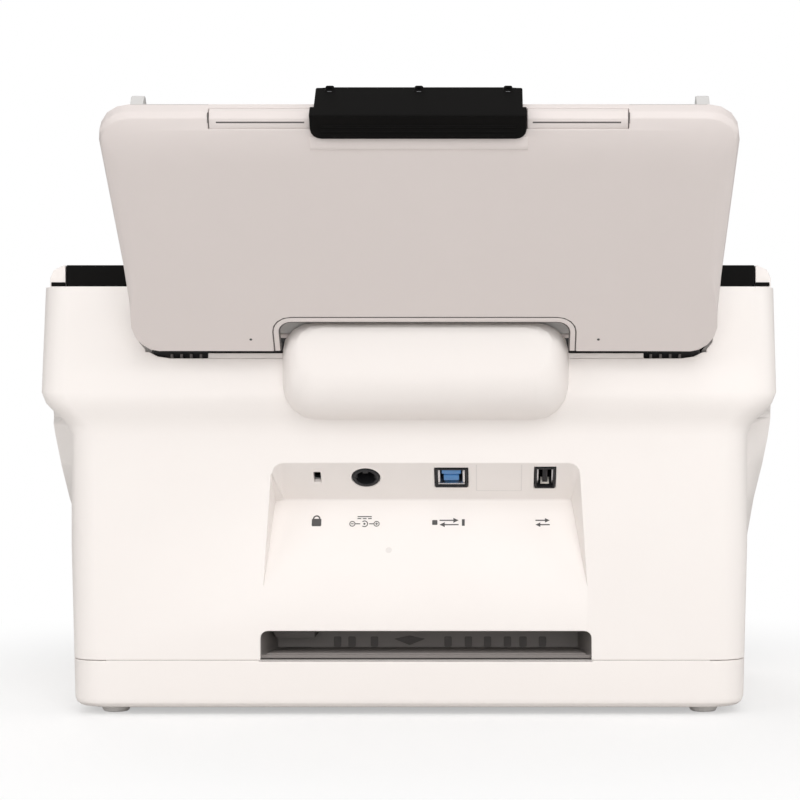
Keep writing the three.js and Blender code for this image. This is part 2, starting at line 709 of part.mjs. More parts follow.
function powerJack() {
  const body = alongZ(circle(-JACK_X, PORT_UP, JACK_RADIUS), GAP - BOARD_BACK, PORT_PROUD);
  const well = alongZ(circle(-JACK_X, PORT_UP, JACK_RADIUS - 2 * SHELL_THICK), -SOCKET_DEEP, WALL);
  const core = alongZ(circle(-JACK_X, PORT_UP, JACK_RADIUS / 2, 12), -SOCKET_DEEP - GAP, -2 * PORT_PROUD);
  return join(cut(body, well), core);
}

function lockPlate() {
  return alongZ(portRing(LOCK_X, LOCK_PLATE), -WALL - GAP - BOARD_THICK, -WALL - GAP,
    [portRing(LOCK_X, LOCK_SLOT).reverse()]);
}

piece(portFace, 'connector_board', connectorBoard(), board);
piece(portFace, 'data_port_square', dataPort(SQUARE_PORT_X, SQUARE_PORT, SQUARE_INSERT), blue);
piece(portFace, 'data_port_upright', dataPort(UPRIGHT_PORT_X, UPRIGHT_PORT, UPRIGHT_INSERT), black);
piece(portFace, 'power_jack', powerJack(), black);
piece(portFace, 'lock_plate', lockPlate(), steel);

// Lower paper guide with windows for the tyres and the sensor glass
const GUIDE_HALF = FRAME_INSIDE - GAP;
const WINDOW_EASE = 1.2;
const SENSOR_HALF = 107;
const SENSOR_FROM = -104;
const SENSOR_TO = -85.5;
const SENSOR_DEEP = 13;
const GLASS_THICK = 1.5;
const GLASS_EDGE = 2.5;

function lowerGuide() {
  const plate = alongZ(
    rounded(-GUIDE_HALF, GUIDE_HALF, GUIDE_END, GUIDE_TOP, GAP, CUT_OUT_CORNER), -GUIDE_THICK, 0);
  const windows = rollerPlaces.flatMap((at) => [-TYRE_AT, TYRE_AT].map((x) => centred(
    x, TYRE_WIDTH / 2 + WINDOW_EASE, at - TYRE_RADIUS, at + TYRE_RADIUS, -OVERRUN, OVERRUN)));
  const glass = centred(
    0, SENSOR_HALF, SENSOR_FROM + GLASS_EDGE, SENSOR_TO - GLASS_EDGE, -OVERRUN, OVERRUN);
  const [endY, endZ] = pathPoint(GUIDE_END, -GUIDE_THICK / 2);
  const rampEnd = FRONT_Y + 2 * OUT_THICK + GAP;
  const ramp = alongX([
    [rampEnd, SEAM_Z], [endY + GUIDE_THICK, endZ - GUIDE_THICK / 2],
    [endY + GUIDE_THICK, endZ + GUIDE_THICK / 2], [rampEnd, SEAM_Z + GUIDE_THICK / 2],
  ], PATH_X - GUIDE_HALF, PATH_X + GUIDE_HALF);
  return join(cut(onPath(plate), ...[glass, ...windows].map(onPath)), ramp);
}

piece(scanner, 'lower_guide', lowerGuide(), black);
const glassFrom = SENSOR_FROM + GLASS_EDGE + GAP;
const glassTo = SENSOR_TO - GLASS_EDGE - GAP;
piece(path, 'lower_sensor_bar', centred(
  0, SENSOR_HALF, SENSOR_FROM, SENSOR_TO, -GUIDE_THICK - GAP - SENSOR_DEEP, -GUIDE_THICK - GAP), grey);
piece(path, 'lower_sensor_glass', centred(
  0, SENSOR_HALF - GAP, glassFrom, glassTo, -GUIDE_THICK, -GUIDE_THICK + GLASS_THICK), glassy);

// Gear outlines: involute flanks on a base circle
function involute(angle) {
  return Math.tan(angle) - angle;
}

function gearRing(cu, cv, teeth, phase) {
  const pitch = MODULE * teeth / 2;
  const base = pitch * Math.cos(PRESSURE_DEG * DEG);
  const radii = [pitch - ROOT_DEPTH, pitch, pitch + MODULE];
  const half = Math.PI / (2 * teeth) - BACKLASH / (2 * pitch) + involute(PRESSURE_DEG * DEG);
  const points = [];
  for (let k = 0; k < teeth; k++) {
    const middle = phase + 2 * Math.PI * k / teeth;
    const flank = radii.map((r) => [r, half - involute(Math.acos(base / Math.max(r, base)))]);
    const tooth = [
      ...flank.map(([r, turn]) => [r, middle - turn]),
      ...flank.toReversed().map(([r, turn]) => [r, middle + turn])];
    for (const [r, turn] of tooth) points.push([cu + r * Math.cos(turn), cv + r * Math.sin(turn)]);
  }
  return points;
}

// Phase of a gear that meshes with another, seen along the line of centres
function meshed(phase, teeth, otherTeeth, towards) {
  return towards + Math.PI - (phase - towards) * teeth / otherTeeth + Math.PI / otherTeeth;
}

const downhill = 180 * DEG;
const transportPhase = 0;
const upperIdlerPhase = meshed(transportPhase, SHAFT_TEETH, UPPER_IDLER_TEETH, 0);
const feedPhase = meshed(upperIdlerPhase, UPPER_IDLER_TEETH, SHAFT_TEETH, 0);
const lowerIdlerPhase = meshed(transportPhase, SHAFT_TEETH, LOWER_IDLER_TEETH, downhill);
const exitPhase = meshed(lowerIdlerPhase, LOWER_IDLER_TEETH, SHAFT_TEETH, downhill);
const motorPhase = meshed(lowerIdlerPhase, LOWER_IDLER_TEETH, MOTOR_TEETH, 270 * DEG);

function gear(at, above, teeth, phase, bore) {
  return alongX(gearRing(at, above, teeth, phase), GEAR_START, GEAR_START + GEAR_WIDTH,
    [circle(at, above, bore, 16).reverse()]);
}

// Rollers: a shaft with two rubber tyres and its gear
const SHAFT_PROUD = 1;
const SHAFT_END = GEAR_START + GEAR_WIDTH + SHAFT_PROUD;
const IDLER_PIN = 2.5;
const HUB_BORE = SHAFT_RADIUS + GAP;

function roller(name, at, phase) {
  const shaft = alongX(circle(at, rollerZ, SHAFT_RADIUS, 16), -FRAME_OUTSIDE, SHAFT_END);
  piece(path, `${name}_shaft`, shaft, steel);
  for (const [side, x] of [['left', -TYRE_AT], ['right', TYRE_AT]]) {
    const tyre = alongX(circle(at, rollerZ, TYRE_RADIUS, 24), x - TYRE_WIDTH / 2, x + TYRE_WIDTH / 2,
      [circle(at, rollerZ, HUB_BORE, 16).reverse()]);
    piece(path, `${name}_tyre_${side}`, tyre, rubber);
  }
  piece(path, `${name}_gear`, gear(at, rollerZ, SHAFT_TEETH, phase, HUB_BORE), gearWhite);
}

roller('feed', FEED_AT, feedPhase);
roller('transport', TRANSPORT_AT, transportPhase);
roller('exit', EXIT_AT, exitPhase);
const idlerBore = IDLER_PIN + GAP;
piece(path, 'upper_idler_gear',
  gear(UPPER_IDLER_AT, rollerZ, UPPER_IDLER_TEETH, upperIdlerPhase, idlerBore), gearWhite);
piece(path, 'lower_idler_gear',
  gear(LOWER_IDLER_AT, rollerZ, LOWER_IDLER_TEETH, lowerIdlerPhase, idlerBore), gearWhite);

// Motor and its pinion on a shaft that enters the motor's face
const MOTOR_RADIUS = 18;
const MOTOR_LENGTH = 30;
const MOTOR_SHAFT = 2.5;
const MOTOR_BORE_DEEP = 6;

function motor() {
  const face = FRAME_INSIDE - GAP;
  const body = alongX(circle(LOWER_IDLER_AT, MOTOR_Z, MOTOR_RADIUS, 24), face - MOTOR_LENGTH, face);
  const bore = alongX(
    circle(LOWER_IDLER_AT, MOTOR_Z, MOTOR_SHAFT + GAP, 16), face - MOTOR_BORE_DEEP, face + GAP);
  return cut(body, bore);
}

function motorPinion() {
  const ring = gearRing(LOWER_IDLER_AT, MOTOR_Z, MOTOR_TEETH, motorPhase);
  const teeth = alongX(ring, GEAR_START, GEAR_START + GEAR_WIDTH);
  const shaft = alongX(circle(LOWER_IDLER_AT, MOTOR_Z, MOTOR_SHAFT, 16),
    FRAME_INSIDE - MOTOR_BORE_DEEP, GEAR_START + GEAR_WIDTH / 2);
  return join(teeth, shaft);
}

piece(path, 'drive_motor', motor(), grey);
piece(path, 'motor_pinion', motorPinion(), steel);

// Side frames: plates on the base floor with the shaft holes and cover hinge
const FRAME_FLOOR = FOOT_HEIGHT + WALL + GAP;
const FRAME_TOP = 142;
const FRAME_BACK_Y = 67;
const FRAME_DROP = 7;
const LUG_RADIUS = 4;
const LUG_BACK = 1;

function frameOutline() {
  const topFront = splitY(FRAME_TOP + FRAME_DROP);
  const lowZ = splitZ(HINGE_Y + OVERRUN) - FRAME_DROP;
  return [
    [HINGE_Y + 2 * LUG_RADIUS, FRAME_FLOOR], [FRAME_BACK_Y, FRAME_FLOOR],
    [FRAME_BACK_Y, FRAME_TOP], [topFront, FRAME_TOP],
    [HINGE_Y + OVERRUN, lowZ], [HINGE_Y + LUG_BACK, HINGE_Z + LUG_RADIUS - GAP],
    ...arc(HINGE_Y, HINGE_Z, LUG_RADIUS, 90, 240),
  ];
}

function frame(side) {
  const [x0, x1] = side > 0
    ? [PATH_X + FRAME_INSIDE, PATH_X + FRAME_OUTSIDE]
    : [PATH_X - FRAME_OUTSIDE, PATH_X - FRAME_INSIDE];
  const [in0, in1] = [x0 - GAP, x1 + GAP];
  const hole = (at, above, r) => alongX(circle(...pathPoint(at, above), r, 20), in0, in1);
  const wall = SHAFT_RADIUS + GAP;
  const hinge = alongX(circle(HINGE_Y, HINGE_Z, PIN_HOLE, 16), in0, in1);
  const holes = rollerPlaces.map((at) => hole(at, rollerZ, wall));
  const plate = cut(alongX(frameOutline(), x0, x1), hinge, ...holes);
  if (side < 0) return plate;
  const pins = [UPPER_IDLER_AT, LOWER_IDLER_AT].map((at) => alongX(
    circle(...pathPoint(at, rollerZ), IDLER_PIN, 16), x0, PATH_X + SHAFT_END));
  return join(cut(plate, hole(LOWER_IDLER_AT, MOTOR_Z, MOTOR_SHAFT + GAP)), ...pins);
}

piece(scanner, 'frame_left', frame(-1), steel);
piece(scanner, 'frame_right', frame(1), steel);

// Feeder cover: black shell with a sunk middle, and a white cap at each end
const CAP = 6.5;
const SUNK_HALF = 111;
const SUNK_Z = 175.2;
const SUNK_FRONT_Y = -50;
const FOLD_HALF = 119;
const FOLD_ROOM = 1;
const FOLD_REAR_Y = FRONT_Y + OUT_THICK + FOLD_ROOM;
const FOLD_TOP_Z = 111;
const FOLD_LOW_Z = 40;
const MIDDLE_HALF = 113;
const MIDDLE_REAR_Z = 154;
const COVER_REAR_Y = SPLIT_REAR_Y - SPLIT_GAP;

// The cover reaches lower between the frames than beside them
function coverUnderside() {
  const middle = alongX([
    [FOLD_REAR_Y, COVER_FRONT_Z], [COVER_REAR_Y, MIDDLE_REAR_Z],
    [COVER_REAR_Y, COVER_TOP_Z], [FOLD_REAR_Y, COVER_TOP_Z],
  ], PATH_X - MIDDLE_HALF, PATH_X + MIDDLE_HALF);
  return join(coverRegion(), middle);
}

// Cover outline drawn in by inset on every side, and down to the low level
function coverForm(inset, low) {
  const form = hull({
    side: CAP + GAP + inset, front: inset, high: inset, edged: false, fine: inset === 0 });
  const sunk = centred(PATH_X, SUNK_HALF + inset, SUNK_FRONT_Y - inset, FAR, SUNK_Z - inset, FAR);
  const fold = centred(
    PATH_X, FOLD_HALF + inset, -FAR, FOLD_REAR_Y + inset, FOLD_LOW_Z, FOLD_TOP_Z + inset);
  return cut(both(form, block(-FAR, FAR, -FAR, COVER_REAR_Y - inset, low, FAR)), sunk, fold);
}

// Ear that carries the cover's hinge pin beside the frame lug
const EAR_START = FOLD_HALF + GAP;
const EAR_THICK = 2.5;

function hingeEar(side) {
  const outline = [
    ...arc(HINGE_Y, HINGE_Z, LUG_RADIUS, 180, 330),
    [FOLD_REAR_Y + LUG_RADIUS, COVER_FRONT_Z + LUG_RADIUS], [HINGE_Y, COVER_FRONT_Z + 2 * LUG_RADIUS],
    [HINGE_Y - LUG_RADIUS, COVER_FRONT_Z + LUG_RADIUS],
  ];
  const start = FRAME_INSIDE - GAP;
  const [x0, x1] = side > 0 ? [EAR_START, EAR_START + EAR_THICK] : [-EAR_START - EAR_THICK, -EAR_START];
  const [p0, p1] = side > 0 ? [start, EAR_START + GAP] : [-EAR_START - GAP, -start];
  const pin = alongX(circle(HINGE_Y, HINGE_Z, PIN_RADIUS, 16), PATH_X + p0, PATH_X + p1);
  return join(alongX(outline, PATH_X + x0, PATH_X + x1), pin);
}

// Operator panel opening in the cover's front
const PANEL_INSET = 17.9;
const PANEL_X = Math.min(LOWER_HALF_WIDTH, BELT_HALF_WIDTH) - PANEL_INSET;
const PANEL_HALF = 7.5;
const PANEL_LOW_Z = 64;
const PANEL_TOP_Z = 114;
const PANEL_CORNER = 3;

function panelOutline(grow) {
  return rounded(PANEL_X - PANEL_HALF - grow, PANEL_X + PANEL_HALF + grow,
    PANEL_LOW_Z - grow, PANEL_TOP_Z + grow, PANEL_CORNER + grow);
}

function coverShell() {
  const panel = alongY(panelOutline(GAP), FRONT_Y - OVERRUN, FRONT_Y + OVERRUN);
  const shell = cut(both(coverForm(0, 0), coverUnderside()), coverForm(WALL, COVER_FRONT_Z - OVERRUN));
  return cut(join(shell, hingeEar(1), hingeEar(-1)), panel);
}

function coverCap(side) {
  const band = cut(both(hull(), coverRegion()), hull({ side: CAP, edged: false }),
    hull({ side: FRONT_CORNER - CAP, front: -OVERRUN, rear: -OVERRUN }));
  const half = side > 0 ? block(0, FAR, -FAR, FAR, 0, FAR) : block(-FAR, 0, -FAR, FAR, 0, FAR);
  return both(band, half);
}

piece(scanner, 'cover_shell', coverShell(), black);
piece(scanner, 'cover_cap_left', coverCap(-1), white);
piece(scanner, 'cover_cap_right', coverCap(1), white);

// Upper paper guide, which closes the cover's underside
const UPPER_THICK = 2.5;
const UPPER_HALF = 105;
const UPPER_TOP = -27;
const UPPER_END = -166;
const NIP = GAP;
const SEPARATION_RADIUS = 10;
const PINCH_RADIUS = 6;
const PINCH_SHAFT = 2.5;
const BRACKET_THICK = 3;
const BRACKET_AT = 45;
const SEPARATION_HALF = 20;
const separationZ = TYRE_RISE + NIP + SEPARATION_RADIUS;
const pinchZ = TYRE_RISE + NIP + PINCH_RADIUS;

function upperProfile() {
  const lift = PAPER_GAP;
  const rear = COVER_REAR_Y - WALL - GAP;
  const bend = MIDDLE_REAR_Z - WALL;
  const top = bend + 2 * WALL;
  const front = [FOLD_REAR_Y + WALL + GAP, COVER_FRONT_Z + WALL];
  const low = pathPoint(UPPER_END, lift);
  const lowIn = pathPoint(UPPER_END + UPPER_THICK, lift + UPPER_THICK);
  const high = pathPoint(UPPER_TOP, lift);
  const highIn = pathPoint(UPPER_TOP - UPPER_THICK, lift + UPPER_THICK);
  return [
    front, low, high, [rear, bend], [rear, top], [rear - UPPER_THICK, top],
    [rear - UPPER_THICK, bend - UPPER_THICK / 2], highIn, lowIn,
    [front[0] + UPPER_THICK, front[1] + UPPER_THICK], [front[0], front[1] + 2 * UPPER_THICK],
  ];
}

function bracket(x, at, above) {
  const outline = [
    [at - PINCH_RADIUS, PAPER_GAP + GAP], [at + PINCH_RADIUS, PAPER_GAP + GAP],
    [at + PINCH_RADIUS, above], ...arc(at, above, PINCH_RADIUS, 30, 150), [at - PINCH_RADIUS, above]];
  const hole = circle(at, above, PINCH_SHAFT + GAP, 16).reverse();
  return onPath(alongX(outline, x - BRACKET_THICK / 2, x + BRACKET_THICK / 2, [hole]));
}

function coverGuide() {
  const plate = alongX(upperProfile(), PATH_X - UPPER_HALF, PATH_X + UPPER_HALF);
  const brackets = [[FEED_AT, separationZ], [TRANSPORT_AT, pinchZ], [EXIT_AT, pinchZ]].flatMap(
    ([at, above]) => [bracket(-BRACKET_AT, at, above), bracket(BRACKET_AT, at, above)]);
  const pinchWindows = [TRANSPORT_AT, EXIT_AT].flatMap((at) => [-TYRE_AT, TYRE_AT].map((x) => onPath(
    centred(x, TYRE_WIDTH / 2 + WINDOW_EASE, at - PINCH_RADIUS, at + PINCH_RADIUS, 0, PINCH_RADIUS))));
  const feedWindow = onPath(centred(0, BRACKET_AT - BRACKET_THICK,
    FEED_AT - SEPARATION_RADIUS - GAP, FEED_AT + SEPARATION_RADIUS + GAP, 0, 2 * SEPARATION_RADIUS + WALL));
  const sensor = onPath(centred(0, SENSOR_HALF - WALL, SENSOR_FROM + GLASS_EDGE, SENSOR_TO - GLASS_EDGE,
    0, PAPER_GAP + UPPER_THICK + GAP));
  return cut(join(plate, ...brackets), feedWindow, sensor, ...pinchWindows);
}

function upperSensorBar() {
  const seat = PAPER_GAP + UPPER_THICK + GAP;
  const bar = centred(0, UPPER_HALF - GAP, SENSOR_FROM, SENSOR_TO, seat, seat + SENSOR_DEEP);
  const lens = centred(0, SENSOR_HALF - WALL - GAP, glassFrom, glassTo, PAPER_GAP + GAP, seat + GAP);
  return join(bar, lens);
}

function pinchRoller(at) {
  const reach = BRACKET_AT + BRACKET_THICK;
  const shaft = alongX(circle(at, pinchZ, PINCH_SHAFT, 16), -reach, reach);
  const wheels = [-TYRE_AT, TYRE_AT].map((x) => alongX(
    circle(at, pinchZ, PINCH_RADIUS, 20), x - TYRE_WIDTH / 2, x + TYRE_WIDTH / 2));
  return join(shaft, ...wheels);
}

function separationRoller() {
  const reach = BRACKET_AT + BRACKET_THICK;
  const shaft = alongX(circle(FEED_AT, separationZ, PINCH_SHAFT, 16), -reach, reach);
  const tyre = alongX(
    circle(FEED_AT, separationZ, SEPARATION_RADIUS, 24), -SEPARATION_HALF, SEPARATION_HALF);
  return join(shaft, tyre);
}

piece(scanner, 'cover_guide', coverGuide(), black);
piece(path, 'upper_sensor_bar', upperSensorBar(), grey);
piece(path, 'separation_roller', separationRoller(), rubber);
piece(path, 'upper_pinch_roller', pinchRoller(TRANSPORT_AT), rubber);
piece(path, 'lower_pinch_roller', pinchRoller(EXIT_AT), rubber);

// Operator panel: bezel, display window and three round buttons
const BEZEL_PROUD = 0.4;
const BEZEL_THICK = 3.4;
const BUTTON_RADIUS = 4.6;
const BUTTON_GAP = 0.35;
const BUTTON_LIFT = 1.4;
const BUTTON_THICK = 3.4;
const DISPLAY_HEIGHT = 17;
const DISPLAY_EDGE = 2;
const DISPLAY_THICK = 1.2;
const START_RISE = 6.4;
const STOP_RISE = 17.4;
const MENU_RISE = 27;
const buttonPlaces = {
  start: PANEL_LOW_Z + START_RISE, stop: PANEL_LOW_Z + STOP_RISE, menu: PANEL_LOW_Z + MENU_RISE };
const bezelFace = FRONT_Y - BEZEL_PROUD;

function displayOutline(grow) {
  return rounded(PANEL_X - PANEL_HALF + DISPLAY_EDGE - grow, PANEL_X + PANEL_HALF - DISPLAY_EDGE + grow,
    PANEL_TOP_Z - DISPLAY_HEIGHT - grow, PANEL_TOP_Z - DISPLAY_EDGE + grow,
    DISPLAY_EDGE / 2);
}

function bezel() {
  const plate = alongY(panelOutline(0), bezelFace, bezelFace + BEZEL_THICK);
  const pocket = alongY(displayOutline(GAP), bezelFace - GAP, bezelFace + DISPLAY_THICK + GAP);
  const holes = Object.values(buttonPlaces).map((z) => alongY(
    circle(PANEL_X, z, BUTTON_RADIUS + BUTTON_GAP), bezelFace - GAP, bezelFace + BEZEL_THICK + GAP));
  return cut(plate, pocket, ...holes);
}

piece(scanner, 'panel_bezel', bezel(), grey);
piece(scanner, 'display_window', alongY(displayOutline(0), bezelFace, bezelFace + DISPLAY_THICK), glassy);
for (const [name, z] of Object.entries(buttonPlaces)) {
  const face = bezelFace - BUTTON_LIFT;
  const button = alongY(circle(PANEL_X, z, BUTTON_RADIUS), face, face + BUTTON_THICK);
  piece(scanner, `button_${name}`, button, shade);
}

// Input tray shell: a dish with rounded outer edges, notched around the bump
const NOTCH_TOP = 18.3;
const NOTCH_CORNER = 8;
const DISH_STEPS = 4;
const DISH_CORNER_SHARE = 0.25;

// The tray narrows towards its hinge
function tapered(points) {
  const narrow = TRAY_TAPER / TRAY_HALF_WIDTH;
  return points.map(([x, y]) => [x * (1 - narrow * (1 - y / TRAY_LENGTH)), y]);
}

function dishRing(grow, side, top) {
  const half = TRAY_HALF_WIDTH - grow - side;
  const corner = Math.max(TRAY_TOP_CORNER - grow - side * DISH_CORNER_SHARE, WALL);
  return tapered(rounded(
    -half, half, grow, TRAY_LENGTH - grow - top, TRAY_LOW_CORNER - grow, corner));
}

function dish(grow, rim) {
  const rings = [];
  const side = grow > 0 ? TRAY_INNER_EDGE : TRAY_EDGE_SIDE;
  const top = grow > 0 ? TRAY_INNER_EDGE : TRAY_EDGE_TOP;
  for (let i = 0; i <= DISH_STEPS; i++) {
    const turn = 90 * DEG * i / DISH_STEPS;
    const inset = 1 - Math.sin(turn);
    const z = grow - TRAY_THICK + (TRAY_EDGE_DEEP - grow) * (1 - Math.cos(turn));
    rings.push(dishRing(grow, side * inset, top * inset).map(([x, y]) => [x, y, z]));
  }
  rings.push(dishRing(grow, 0, 0).map(([x, y]) => [x, y, rim]));
  return loft(rings);
}

function notch(grow) {
  const half = BUMP_HALF_WIDTH + NOTCH_GAP + grow;
  return alongZ(rounded(-half, half, -OVERRUN, NOTCH_TOP + grow, GAP, NOTCH_CORNER + grow),
    -TRAY_THICK - GAP, -BED_THICK - GAP);
}

// Extension: a black plate that slides up out of the shell, with its handle
const EXT_CLEAR = 2.5;
const EXT_TOP = TRAY_WALL - TRAY_THICK + EXT_CLEAR;
const EXT_THICK = 2;
const EXT_HALF = 78;
const EXT_FROM = 28;
const CAP_DEPTH = 9.2;
const CAP_BAR = 3;
const HANDLE_HALF = 40;
const HANDLE_DOWN = 7.5;
const HANDLE_CORNER = 4;
const HANDLE_PROUD = 1.2;
const HOOD_HALF = 38.6;
const HOOD_THICK = 3;
const HOOD_HIGH = 6;
const PEG_RADIUS = 1.4;
const PEG_HALF = 1.6;
const PEG_SPREAD = 33.2;
const extensionLow = EXT_TOP - EXT_THICK;
const capFrom = TRAY_LENGTH - CAP_DEPTH;
const capTop = -BED_THICK - GAP;

// Openings in the tray's top edge for the extension, its end panels and handle
function extensionWindow() {
  const deep = -TRAY_THICK - OVERRUN;
  return [
    centred(0, EXT_HALF, capFrom - GAP, FAR, extensionLow - GAP, capTop + GAP),
    alongZ(rounded(-HANDLE_HALF - GAP, HANDLE_HALF + GAP, TRAY_LENGTH - HANDLE_DOWN - GAP,
      TRAY_LENGTH + OVERRUN, HANDLE_CORNER + GAP, GAP), deep, capTop + GAP)];
}

function extensionPlate() {
  const plate = alongZ(rounded(WALL - EXT_HALF, EXT_HALF - WALL, EXT_FROM, capFrom - GAP, WALL),
    extensionLow, EXT_TOP);
  const neck = centred(0, HANDLE_HALF, capFrom - 2 * GAP, TRAY_LENGTH, extensionLow, EXT_TOP);
  const grip = alongZ(rounded(-HANDLE_HALF, HANDLE_HALF, TRAY_LENGTH - HANDLE_DOWN,
    TRAY_LENGTH + GAP + HOOD_THICK, HANDLE_CORNER, GAP), -TRAY_THICK - HANDLE_PROUD, EXT_TOP);
  const hoodFrom = TRAY_LENGTH + GAP;
  const hood = centred(0, HOOD_HALF, hoodFrom, hoodFrom + HOOD_THICK, extensionLow, HOOD_HIGH);
  const pegs = [-PEG_SPREAD, 0, PEG_SPREAD].map((x) => alongX(
    circle(hoodFrom + HOOD_THICK, HOOD_HIGH - PEG_RADIUS, PEG_RADIUS, 12), x - PEG_HALF, x + PEG_HALF));
  return join(plate, neck, grip, hood, ...pegs);
}

// White end panels of the extension, on a bar behind the handle
function extensionCap() {
  const half = EXT_HALF - GAP;
  const panels = both(dish(0, 0), centred(0, half, capFrom, FAR, extensionLow, capTop));
  const under = centred(0, HANDLE_HALF + GAP, 0, FAR, -FAR, EXT_TOP + GAP);
  return cut(panels, under, centred(0, HANDLE_HALF + GAP, capFrom + CAP_BAR, FAR, -FAR, FAR));
}

const LUG_WIDTH = 7.7;
const LUG_START = TRAY_HALF_WIDTH - LUG_WIDTH;
const LUG_TURN = 4.5;
const LUG_LOW = 10;
const LUG_HIGH = 19;
const LUG_ROOT = -4;

function lugOutline() {
  return [
    [LUG_LOW, LUG_ROOT], [LUG_HIGH, LUG_ROOT], [LUG_HIGH, TRAY_WALL],
    ...arc(TRAY_AXIS_ALONG, TRAY_AXIS_ABOVE, LUG_TURN, 20, 200), [LUG_LOW, TRAY_WALL],
  ];
}

function trayLug(side) {
  const end = TRAY_LOW_HALF - TRAY_WALL / 2;
  const pinEnd = CUT_OUT_HALF + TUB_WALL - GAP;
  const span = (a, b) => (side > 0 ? [a, b] : [-b, -a]);
  const arm = alongX(lugOutline(), ...span(LUG_START, end));
  const pin = alongX(circle(TRAY_AXIS_ALONG, TRAY_AXIS_ABOVE, AXLE_RADIUS, 16), ...span(LUG_START, pinEnd));
  return join(arm, pin);
}

function trayShell() {
  const open = cut(dish(0, 0), dish(TRAY_WALL, OVERRUN));
  const rim = both(notch(TRAY_WALL), dish(0, 0));
  return join(cut(join(open, rim), notch(0), ...extensionWindow()), trayLug(1), trayLug(-1));
}

piece(path, 'tray_shell', trayShell(), white);

// Guide rack and pinion between the shell and the bed
const PINION_AT = 50;
const PINION_TEETH = 12;
const RACK_CLEAR = 0.5;
const RACK_TOP = -BED_THICK - RACK_CLEAR;
const RACK_THICK = 3;
const RACK_BACK = 3;
const pinionPitch = MODULE * PINION_TEETH / 2;
const pinionLow = RACK_TOP - RACK_THICK;
const GUIDE_INSET = 13.3;
const GUIDE_AT = TRAY_HALF_WIDTH - GUIDE_INSET;
const GUIDE_TRAVEL = 75;
const GUIDE_WALL = 5;
const GUIDE_HIGH = 15;
const GUIDE_FROM = 10;
const GUIDE_TO = 108;
const NECK_WIDTH = 4;
const RACK_REACH = 9;

function guidePinion() {
  return alongZ(gearRing(0, PINION_AT, PINION_TEETH, 90 * DEG), pinionLow, RACK_TOP,
    [circle(0, PINION_AT, idlerBore, 16).reverse()]);
}

// Rack on the pinion's far side, for the guide at -X; the other is turned half way
function rackOutline() {
  const pitchLine = PINION_AT + pinionPitch;
  const root = pitchLine + ROOT_DEPTH;
  const tip = pitchLine - MODULE;
  const slope = Math.tan(PRESSURE_DEG * DEG);
  const step = Math.PI * MODULE;
  const halfPitch = step / 4 - BACKLASH / 2;
  const points = [[RACK_REACH, root + RACK_BACK], [-GUIDE_AT, root + RACK_BACK], [-GUIDE_AT, root]];
  const count = Math.ceil(GUIDE_TRAVEL / step) + 1;
  for (let k = -count; k <= 1; k++) {
    const middle = (k + 0.5) * step;
    const low = halfPitch + (root - pitchLine) * slope;
    const high = halfPitch - (pitchLine - tip) * slope;
    points.push([middle - low, root], [middle - high, tip], [middle + high, tip], [middle + low, root]);
  }
  return [...points, [RACK_REACH, root]];
}

function neckPlace() {
  const root = PINION_AT + pinionPitch + ROOT_DEPTH;
  return [root, root + RACK_BACK];
}

function guideRack() {
  const [n0, n1] = neckPlace();
  const rack = alongZ(rackOutline(), RACK_TOP - RACK_THICK, RACK_TOP);
  const neck = centred(-GUIDE_AT, NECK_WIDTH / 2, n0, n1, RACK_TOP - RACK_THICK, GUIDE_HIGH / 2);
  return join(rack, neck);
}

function guideWall(x) {
  const crown = GUIDE_WALL / 2;
  return alongX([
    [GUIDE_FROM, GAP], [GUIDE_TO - crown, GAP], ...arc(GUIDE_TO - crown, GUIDE_HIGH - crown, crown, 0, 90),
    ...arc(GUIDE_FROM + crown, GUIDE_HIGH - crown, crown, 90, 180),
  ], x - GUIDE_WALL / 2, x + GUIDE_WALL / 2);
}

// Half a turn about the pinion takes the rack and neck to the other guide
function halfTurn(shape) {
  return geometryOf(shape).translate(0, -PINION_AT, 0).rotateZ(180 * DEG).translate(0, PINION_AT, 0);
}

// Tray bed: the plate that the paper lies on
function trayBed() {
  const edge = TRAY_WALL + GAP;
  const outline = rounded(edge - TRAY_HALF_WIDTH, TRAY_HALF_WIDTH - edge, edge, TRAY_LENGTH - edge,
    TRAY_LOW_CORNER - edge, TRAY_TOP_CORNER - edge);
  const plate = alongZ(tapered(outline), -BED_THICK, 0);
  const [n0, n1] = neckPlace();
  const side = NECK_WIDTH / 2 + GAP;
  const slots = [
    block(-GUIDE_AT - side, GUIDE_TRAVEL - GUIDE_AT + side, n0 - GAP, n1 + GAP, -OVERRUN, OVERRUN),
    block(GUIDE_AT - GUIDE_TRAVEL - side, GUIDE_AT + side,
      2 * PINION_AT - n1 - GAP, 2 * PINION_AT - n0 + GAP, -OVERRUN, OVERRUN)];
  const lugs = [1, -1].map((side) => {
    const [x0, x1] = side > 0 ? [LUG_START - GAP, FAR] : [-FAR, GAP - LUG_START];
    return block(x0, x1, LUG_LOW - GAP, LUG_HIGH + GAP, -OVERRUN, OVERRUN);
  });
  const pin = alongZ(circle(0, PINION_AT, IDLER_PIN, 16), pinionLow, -BED_THICK / 2);
  return join(cut(plate, ...slots, ...lugs), pin);
}

piece(path, 'tray_bed', trayBed(), shade);
piece(path, 'guide_pinion', guidePinion(), gearWhite);
piece(path, 'guide_left', join(guideRack(), guideWall(-GUIDE_AT)), shade);
piece(path, 'guide_right', join(halfTurn(guideRack()), guideWall(GUIDE_AT)), shade);

piece(path, 'extension_plate', extensionPlate(), black);
piece(path, 'extension_cap', extensionCap(), white);

